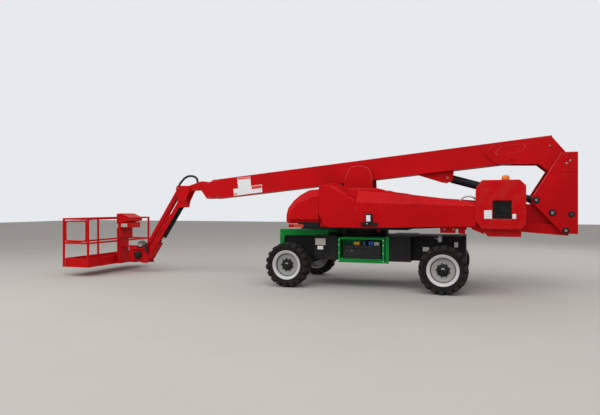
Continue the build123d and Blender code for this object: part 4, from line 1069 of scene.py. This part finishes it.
def buildChassisFittings(c):
    for side, tag in ((1, "Left"), (-1, "Right")):
        def at(bm):
            if side < 0:
                bmesh.ops.scale(bm, vec=(1, -1, 1), verts=bm.verts)
                bmesh.ops.reverse_faces(bm, faces=bm.faces)
            return bm

        for name, xRange, zTop, finish, radius in (
                ("terminalBlock", (-0.176, 0.037), 0.960, blueWire, 0.012),
                ("coiledLead", (0.108, 0.240), 0.944, yellowWire, 0.018),
                ("chargerCase", (-0.293, -0.188), 0.941, beigePlastic, 0.006),
                ("switchCase", (-0.082, 0.001), 1.007, grit, 0.008)):
            made(name + tag, at(slab(xRange, (0.66, 0.80), (batteryTop, zTop))), finish, "chassis", radius)
        for index, (x, z) in enumerate(((0.349, 0.769), (0.249, 0.757), (0.154, 0.697))):
            radius = (0.016, 0.034, 0.014)[index]
            cap = lathed([(0.866, radius), (0.876, radius), (0.876, radius * 0.72), (0.870, radius * 0.70),
                          (0.870, 0.0)], 24)
            bmesh.ops.translate(cap, vec=spot(x, 0.004, z), verts=cap.verts)
            addObject(f"batteryPort{index}{tag}", at(cap), darkSteel, "chassis", 30.0)
    made("junctionBox", slab(c["x"], (c["face"], c["face"] + c["depth"]), c["z"]), beigePlastic, "chassis", 0.004)
    random.seed(7)
    for index in range(9):
        start = random.uniform(-0.10, 0.36)
        points = [(start + random.uniform(-0.06, 0.06) + 0.03 * k, 0.62 + 0.035 * random.uniform(0, 4),
                   batteryTop + 0.012 + random.uniform(0.0, 0.045) * (k % 2)) for k in range(6)]
        finish = (yellowWire, yellowWire, hoseRubber, blueWire, beigePlastic)[index % 5]
        hose(f"batteryLead{index}", points, 0.0055, finish, "chassis", 8, 0.012)
    print("chassis fittings made")


buildChassisFittings(chassisBox)
frameBolts = [(x, z) for x in (-0.390, 0.514) for z in (0.56, 0.72, 0.88, 0.98)]
studs("batteryFrameBolts", [((x, side * 0.910, z), (0, side, 0)) for x, z in frameBolts for side in (1, -1)], 0.018,
      0.007, zinc, "chassis")


bodyOf = {n: b for b, names in frame["record"]["behaviour"]["bodies"].items() for n in names}
slotOf = {row["node"]: row["material_slot"] for row in frame["record"]["subparts"]}


# forms that stand for a plainer frame piece

def stands(node, bm, finish, width, segments=2):
    piece = made(node + "Form", bm, finish, bodyOf[node], width, slotOf[node], segments)
    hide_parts(node)
    return piece


def thickened(bm, wall):
    # a sheet made into a wall that grows inwards
    bmesh.ops.recalc_face_normals(bm, faces=bm.faces)
    bmesh.ops.solidify(bm, geom=bm.faces[:], thickness=wall)
    return bm


def pressing(rows, openEdges, width, wall):
    # a pressed shell through outlines at rising y, closed at the last one; the first strip leaves out its open edges
    bm = bmesh.new()
    rings = [[bm.verts.new(spot(x, y, z)) for x, z in outline] for y, outline in rows]
    count = len(rings[0])
    for index, (first, second) in enumerate(zip(rings, rings[1:])):
        for i in range(count):
            if i not in openEdges[min(index, len(openEdges) - 1)]:
                j = (i + 1) % count
                bm.faces.new([first[i], first[j], second[j], second[i]])
    bm.faces.new(rings[-1])
    bmesh.ops.recalc_face_normals(bm, faces=bm.faces)
    return thickened(softened(bm, width, 3, 14.0), wall)


def barAlongX(y, z, radius, xRange):
    low, high = xRange
    return turned(lathed([(0, 0), (0, radius), (high - low, radius), (high - low, 0)], 24), (low, y, z), (1, 0, 0))


hoodForm = {
    "inner": 0.426, "band": 1.100, "face": 1.186, "wall": 0.007, "hinge": (0.440, 1.996), "barrel": (0.872, 0.960), "pin": (0.856, 0.950),
    "outline": [(0.872, 1.320), (1.540, 1.315), (1.590, 1.350), (1.586, 1.490), (1.550, 1.625), (1.430, 1.775),
                (1.290, 1.890), (1.090, 1.995), (0.872, 2.012)],
    "faceOutline": [(0.872, 1.410), (1.440, 1.410), (1.482, 1.440), (1.478, 1.510), (1.444, 1.600),
                    (1.318, 1.726), (1.180, 1.785), (1.010, 1.850), (0.872, 1.895)],
}
panelForm = {
    "inner": 0.420, "outer": 1.200, "wall": 0.007,
    "outline": [(0.097, 1.2405), (0.640, 1.2405), (0.712, 1.258), (0.768, 1.312), (0.864, 1.507), (0.864, 2.025),
                (0.845, 2.065), (0.761, 2.093), (0.618, 2.070), (0.097, 1.765)],
}


def buildCovers(h, p):
    last = len(h["outline"]) - 1
    for node, side in (("hood_left", 1), ("hood_right", -1)):
        rows = ((h["inner"], h["outline"]), (h["band"], h["outline"]), (h["face"], h["faceOutline"]))
        bm = combined(pressing(rows, ((0, last), (last,)), 0.009, h["wall"]),
                      barAlongX(*h["hinge"], 0.0125, h["barrel"]))
        stands(node, sided(bm, side), redPaint, 0)
    bm = combined(pressing(((p["inner"], p["outline"]), (p["outer"], p["outline"])), ((),), 0.010, p["wall"]),
                  barAlongX(*h["hinge"], 0.008, h["pin"]))
    stands("front_panels", mirrorOf(bm), redPaint, 0)
    print("covers made")


def sided(bm, side):
    if side < 0:
        bmesh.ops.scale(bm, vec=(1, -1, 1), verts=bm.verts)
        bmesh.ops.reverse_faces(bm, faces=bm.faces)
    return bm


def box2(xRange, zRange):
    return [(xRange[0], zRange[0]), (xRange[1], zRange[0]), (xRange[1], zRange[1]), (xRange[0], zRange[1])]


batteryFrame = {"x": (-0.412, 0.536), "z": (0.523, 1.030), "y": (0.860, 0.910), "side": 0.044, "top": 0.035,
                "bottom": 0.078, "inner": 0.532, "box": (-0.336, 0.430), "lid": 0.800}
gateForm = {"x": (6.556, 7.194), "z": (0.825, 1.329), "y": (1.181, 1.217), "tube": 0.036, "corner": 0.075,
            "pin": 0.008, "reach": 0.0257}


def buildFrames(b, g):
    (x0, x1), (z0, z1) = b["x"], b["z"]
    inside = box2((x0 + b["side"], x1 - b["side"]), (z0 + b["bottom"], z1 - b["top"]))
    floor = slab(b["x"], (b["inner"], b["y"][0]), (z0, z0 + 0.036))
    wall = slab(b["x"], (b["inner"], b["inner"] + 0.014), (z0 + 0.036, z1))
    frameForm = combined(hollowPlate(box2(b["x"], b["z"]), inside, *b["y"]), floor, wall)
    stands("battery_frames", mirrorOf(frameForm), greenPaint, 0.004)
    low, high = b["box"]
    boxes = combined(slab((low, high), (0.560, 0.866), (z0 + 0.038, b["lid"])),
                     slab((low - 0.004, high + 0.004), (0.556, 0.870), (b["lid"] + 0.004, batteryTop)))
    stands("battery_boxes", mirrorOf(boxes), blackPlastic, 0.006)
    plate = slab((-0.495, -0.432), (0.880, 0.887), (0.520, 1.058))
    made("batterySidePlates", mirrorOf(plate), greenPaint, "chassis", 0.002)
    (x0, x1), (z0, z1), t = g["x"], g["z"], g["tube"]
    outer = rounded(box2(g["x"], g["z"]), g["corner"], 5)
    inner = rounded(box2((x0 + t, x1 - t), (z0 + t, z1 - t)), g["corner"] - t * 0.6, 5)
    pin = lathed([(0, 0), (0, g["pin"]), (z1 - z0 + 2 * g["reach"], g["pin"]), (z1 - z0 + 2 * g["reach"], 0)], 16)
    pin = turned(pin, (x0 + t / 2, (g["y"][0] + g["y"][1]) / 2, z0 - g["reach"]), (0, 0, 1))
    stands("platform_gate", combined(softened(hollowPlate(outer, inner, *g["y"]), 0.008, 2), pin), redPaint, 0)
    print("frames made")


buildCovers(hoodForm, panelForm)
buildFrames(batteryFrame, gateForm)

guardOutline = [(0.774, 1.183), (0.774, 1.055), (1.715, 1.042), (1.745, 1.032), (1.756, 1.005), (1.756, 0.827),
                (1.856, 0.825), (1.856, 1.180)]
stands("front_guards", mirrorOf(prism(guardOutline, 0.640, 0.760)), greenPaint, 0.010)

controlForm = {"foot": ((-0.322, -0.007), (1.278, 1.350)), "box": ((-0.228, -0.093), (1.350, 1.517))}


def buildControlBox(c):
    # the ground controls: a case with rounded corners on a wider foot
    foot = prism(rounded(box2(*c["foot"]), 0.014, 4), 1.200, 1.240)
    case = prism(rounded(box2(*c["box"]), 0.026, 5), 1.200, 1.236)
    stands("control_box", combined(foot, case), grit, 0.004)
    knob = lathed([(1.240, 0.012), (1.2435, 0.012), (1.2445, 0.010), (1.2445, 0.0)], 20)
    bmesh.ops.translate(knob, vec=spot(-0.127, 0, 1.323), verts=knob.verts)
    addObject("controlKnob", knob, zinc, "turntable")


def buildBeacon():
    # a broad amber cap on a dark foot
    def upright(profile):
        return turned(lathed(profile, 32), (-2.660, 0.800, 2.1395), (0, 0, 1))

    stands("beacon", upright([(0, 0), (0, 0.076), (0.018, 0.076), (0.022, 0.070), (0.022, 0)]), blackPlastic, 0)
    addObject("beaconCap", upright([(0.022, 0), (0.022, 0.070), (0.030, 0.072), (0.066, 0.069), (0.088, 0.060),
                                    (0.100, 0.040), (0.105, 0)]), amberLens, "turntable")


def buildTurntableParts():
    # plates, brackets and rims that the photo shows round the covers
    for name, outline, yRange, finish, width in (
            ("bayPlate", box2((0.600, 0.868), (1.250, 1.520)), (1.070, 1.090), redPaint, 0.002),
            ("channelTop", [(0.975, 2.134), (0.719, 2.168), (0.418, 2.041), (0.568, 1.958)], (0.386, 0.424),
             redPaint, 0.006),
            ("coverHump", [(0.100, 1.752), (0.352, 1.900), (0.300, 2.020), (-0.300, 2.018), (-0.470, 1.962),
                           (-0.900, 1.905), (-0.900, 1.880), (0.000, 1.900)], (0.450, 1.060), redPaint, 0.016),
            ("hoodFrame", box2((0.800, 0.900), (1.330, 1.985)), (0.460, 1.095), redPaint, 0.004),
            ("underBracket", [(-0.160, 1.235), (-0.290, 1.235), (-0.262, 1.130), (-0.235, 1.122)], (0.590, 0.610),
             redPaint, 0.002),
            ("rearBracket", [(-1.486, 1.290), (-1.498, 1.156), (-1.768, 1.156), (-1.788, 1.295)], (1.000, 1.080),
             redPaint, 0.004),
            ("rearBracketEnd", [(-1.821, 1.295), (-1.821, 1.150), (-1.944, 1.140), (-1.944, 1.297)], (1.000, 1.080),
             redPaint, 0.004),
            ("weightBrace", [(-2.100, 1.380), (-2.140, 1.380), (-2.285, 1.165), (-2.262, 1.150), (-2.056, 1.240),
                             (-2.056, 1.262)], (1.050, 1.090), redPaint, 0.004),
            ("coverRim", [(0.090, 1.2415), (0.090, 1.266), (-0.530, 1.272), (-2.128, 1.314), (-2.128, 1.2905),
                          (-0.530, 1.2490)], (1.2005, 1.212), redPaint, 0.003),
            ("deckMarkerRear", rounded(box2((1.205, 1.414), (1.230, 1.294)), 0.018, 4), (1.101, 1.128),
             signalPlastic, 0.003),
            ("deckMarkerFront", rounded(box2((1.416, 1.530), (1.230, 1.294)), 0.018, 4), (1.101, 1.128),
             redPaint, 0.003)):
        made(name, mirrorOf(prism(outline, *yRange)), finish, "turntable", width)
    bolts = [((x, side * 1.080, z), (0, side, 0)) for x, z in ((-1.570, 1.228), (-1.734, 1.228)) for side in (1, -1)]
    studs("rearBracketBolts", bolts, 0.028, 0.010, pinSteel, "turntable")


def buildRearValve():
    # the valve block on the chassis side above the rear tyre
    block = slab((-1.505, -1.425), (0.546, 0.600), (0.950, 1.060))
    port = turned(lathed([(0, 0), (0, 0.020), (0.050, 0.020), (0.054, 0.015), (0.075, 0.015), (0.075, 0)], 18),
                  (-1.460, 0.590, 1.020), (0, 0, 1))
    side = turned(lathed([(0, 0), (0, 0.017), (0.040, 0.017), (0.044, 0.012), (0.070, 0.012), (0.070, 0)], 18),
                  (-1.425, 0.575, 1.010), (1, 0, 0.25))
    made("rearValve", combined(softened(block, 0.006), port, side), alloy, "chassis", 0)
    for index, (drop, reach) in enumerate(((0.00, 0.02), (0.035, 0.06), (0.070, 0.10))):
        hose(f"rearValveHose{index}", [(-1.50, 0.60 + drop / 2, 1.03 - drop), (-1.56, 0.63, 1.075 - drop / 2),
                                       (-1.50 - reach, 0.62, 1.085 - drop / 2), (-1.60 - reach, 0.58, 1.02 - drop),
                                       (-1.62 - reach, 0.56, 0.92)], 0.013, hoseRubber, "chassis", 12)


buildControlBox(controlForm)
buildBeacon()
buildTurntableParts()
buildRearValve()
restOutline = [(0.465, 2.508), (0.288, 2.533), (0.089, 2.523), (-0.035, 2.397), (-0.055, 2.040), (0.567, 2.040),
               (0.567, 2.162), (0.528, 2.286)]
made("restPad", mirrorOf(prism(rounded(restOutline, 0.03, 3), 0.2455, 0.268)), redPaint, bodyOf["boom_rest"], 0.005)
# a bead in lighter red along the pad's edge: painted highlight
hose("restSeam", [(0.545, 0.262, 2.230), (0.470, 0.262, 2.500), (0.290, 0.262, 2.528), (0.095, 0.262, 2.518),
                  (-0.030, 0.262, 2.398), (-0.045, 0.262, 2.200)], 0.009, edgeRed, bodyOf["boom_rest"], 8, 0.03)
made("riserGusset", mirrorOf(prism([(-3.073, 1.690), (-3.193, 1.690), (-3.560, 1.330), (-3.500, 1.255), (-3.062, 1.335)],
                                   0.160, 0.198)), redPaint, bodyOf["riser"], 0.004)
sleeve = lathed([(0.25, 0.074), (0.25, 0.080), (0.256, 0.083), (1.636, 0.083), (1.642, 0.080), (1.642, 0.074)], 36)
addObject("liftSleeve", turned(sleeve, (-3.232, 0, 1.780), (1.652, 0, 0.473)), blackPaint,
          bodyOf["lift_cylinder_barrel"])
print("turntable parts made")

chassisEnd = -1.95015


def buildPlatformParts():
    # the console with its lower case, the mast's head, the hoses and the actuator behind the mast
    profile = [(6.453, 1.228), (6.453, 1.487), (6.285, 1.482), (6.057, 1.384), (6.057, 1.302)]
    stands("console", combined(prism(profile, -0.253, 0.253),
                               slab((6.056, 6.100), (-0.262, 0.262), (1.368, 1.392))), redPaint, 0.004)
    body = bodyOf["console"]
    made("consoleCase", slab((6.100, 6.430), (-0.235, 0.235), (1.128, 1.262)), redPaint, body, 0.006)
    made("consoleWindow", slab((6.094, 6.101), (-0.210, 0.205), (1.150, 1.250)), castPaint, body, 0.002)
    made("consolePlate", slab((6.150, 6.330), (0.235, 0.2365), (1.150, 1.235)), beigePlastic, body, 0.001)
    made("mastHead", slab((6.345, 6.450), (-0.253, 0.253), (0.872, 1.124)), redPaint, body, 0.006)
    drum = lathed([(0.136, 0.0), (0.136, 0.098), (0.190, 0.098), (0.200, 0.088), (0.200, 0.030), (0.206, 0.026),
                   (0.206, 0.0)], 36)
    bmesh.ops.translate(drum, vec=spot(5.885, 0, 0.450), verts=drum.verts)
    holder = bodyOf["platform_support"]
    addObject("actuatorDrum", drum, castIron, holder)
    made("supportTop", slab((5.690, 6.060), (0.100, 0.190), (0.602, 0.622)), redPaint, holder, 0.004)
    made("supportValve", combined(softened(slab((5.760, 5.870), (0.136, 0.190), (0.660, 0.740)), 0.006),
                                  turned(lathed([(0, 0), (0, 0.016), (0.13, 0.016), (0.13, 0)], 16),
                                         (5.740, 0.163, 0.700), (1, 0, 0.2))), alloy, holder, 0)
    for index, drop in enumerate((0.0, 0.035, 0.070)):
        side = 0.152 + 0.006 * index
        hose(f"supportHose{index}", [(5.900 - drop / 2, side, 0.62), (5.895 - drop / 2, side, 0.74 - drop),
                                     (5.820, side, 0.80 - drop), (5.700, side, 0.80 - drop),
                                     (5.620 + drop / 2, side, 0.72 - drop), (5.610 + drop / 2, side, 0.52)],
             0.0125, hoseRubber, holder, 12)
    print("platform parts made")


buildPlatformParts()


def buildJibCovers():
    # plates beside the lower arm, with two slots each drawn as dark strips of painted shade
    start, end = Vector((4.710, 1.800)), Vector((5.670, 0.320))
    reach = (end - start).normalized()
    across = Vector((-reach.y, reach.x))

    def corner(s, d):
        return tuple(start + reach * s + across * d)

    long = (end - start).length
    plate = [corner(0.36, -0.045), corner(long - 0.22, -0.045), corner(long - 0.22, 0.110), corner(0.46, 0.110)]
    body = bodyOf["jib_lower"]
    made("jibCover", mirrorOf(prism(rounded(plate, 0.03, 3), 0.1055, 0.1090)), redPaint, body, 0.001)
    slots = combined(*(prism([corner(s, 0.040), corner(s + 0.23, 0.040), corner(s + 0.23, 0.062), corner(s, 0.062)],
                             0.1090, 0.1096) for s in (0.50, 0.86)))
    # dark strips: painted shade where the slots would be cut
    made("jibCoverSlots", mirrorOf(slots), grit, body, 0)


buildJibCovers()

# profile corners that a dressed copy shifts: old and new machine x and z
uprightFront = (((-3.460, 2.150), (-3.349, 2.150)), ((-3.640, 2.400), (-3.501, 2.400)),
                ((-3.640, 2.687), (-3.675, 2.687)))
weightFoot = (((-2.342, 1.245), (-2.222, 1.245)), ((-2.237, 1.245), (-2.236, 1.245)),
              ((-2.132, 1.350), (-2.132, 1.376)))
liftClevis = (((-1.660, 2.200), (-1.685, 2.200)), ((-1.580, 2.160), (-1.560, 2.145)),
              ((-1.480, 2.190), (-1.450, 2.165)))

dressTable = (
    # node, finish, edge radius in metres, corners to shift
    ("front_axle", blackPaint, 0.006),
    ("rear_axle", blackPaint, 0.006),
    ("knuckle_left", blackPaint, 0.004),
    ("knuckle_right", blackPaint, 0.004),
    ("chassis_frame", blackPaint, 0.004),
    ("slew_bearing", blackPaint, 0.004),
    ("turntable_frame", blackPaint, 0.004),
    ("side_covers", redPaint, 0.006),
    ("counterweights", castPaint, 0.012, weightFoot),
    ("louvres", grit, 0.002),
    ("power_unit", blackPaint, 0.010),
    ("hydraulic_tank", blackPaint, 0.014),
    ("riser", redPaint, 0.008),
    ("boom_rest", redPaint, 0.006),
    ("riser_link", redPaint, 0.005),
    ("upright", redPaint, 0.006, uprightFront),
    ("boom_base", redPaint, 0.003, liftClevis),
    ("boom_mid", redPaint, 0.004),
    ("boom_fly", redPaint, 0.005),
    ("level_bracket", redPaint, 0.004),
    ("jib_upper", redPaint, 0.006),
    ("jib_lower", redPaint, 0.003),
    ("platform_support", redPaint, 0.004),
    ("platform_floor", redPaint, 0.002),
    ("platform_rails", redPaint, 0.004),
    ("platform_mast", redPaint, 0.003),
    ("lift_cylinder_barrel", blackPaint, 0.003),
    ("riser_cylinder_barrel", blackPaint, 0.003),
    ("jib_cylinder_barrel", blackPaint, 0.003),
    ("lift_cylinder_rod", chrome, 0.002),
    ("riser_cylinder_rod", chrome, 0.002),
    ("jib_cylinder_rod", chrome, 0.002),
)
for node, finish, width, *moves in dressTable:
    dress(node, finish, width, *moves)
print("frame pieces dressed")
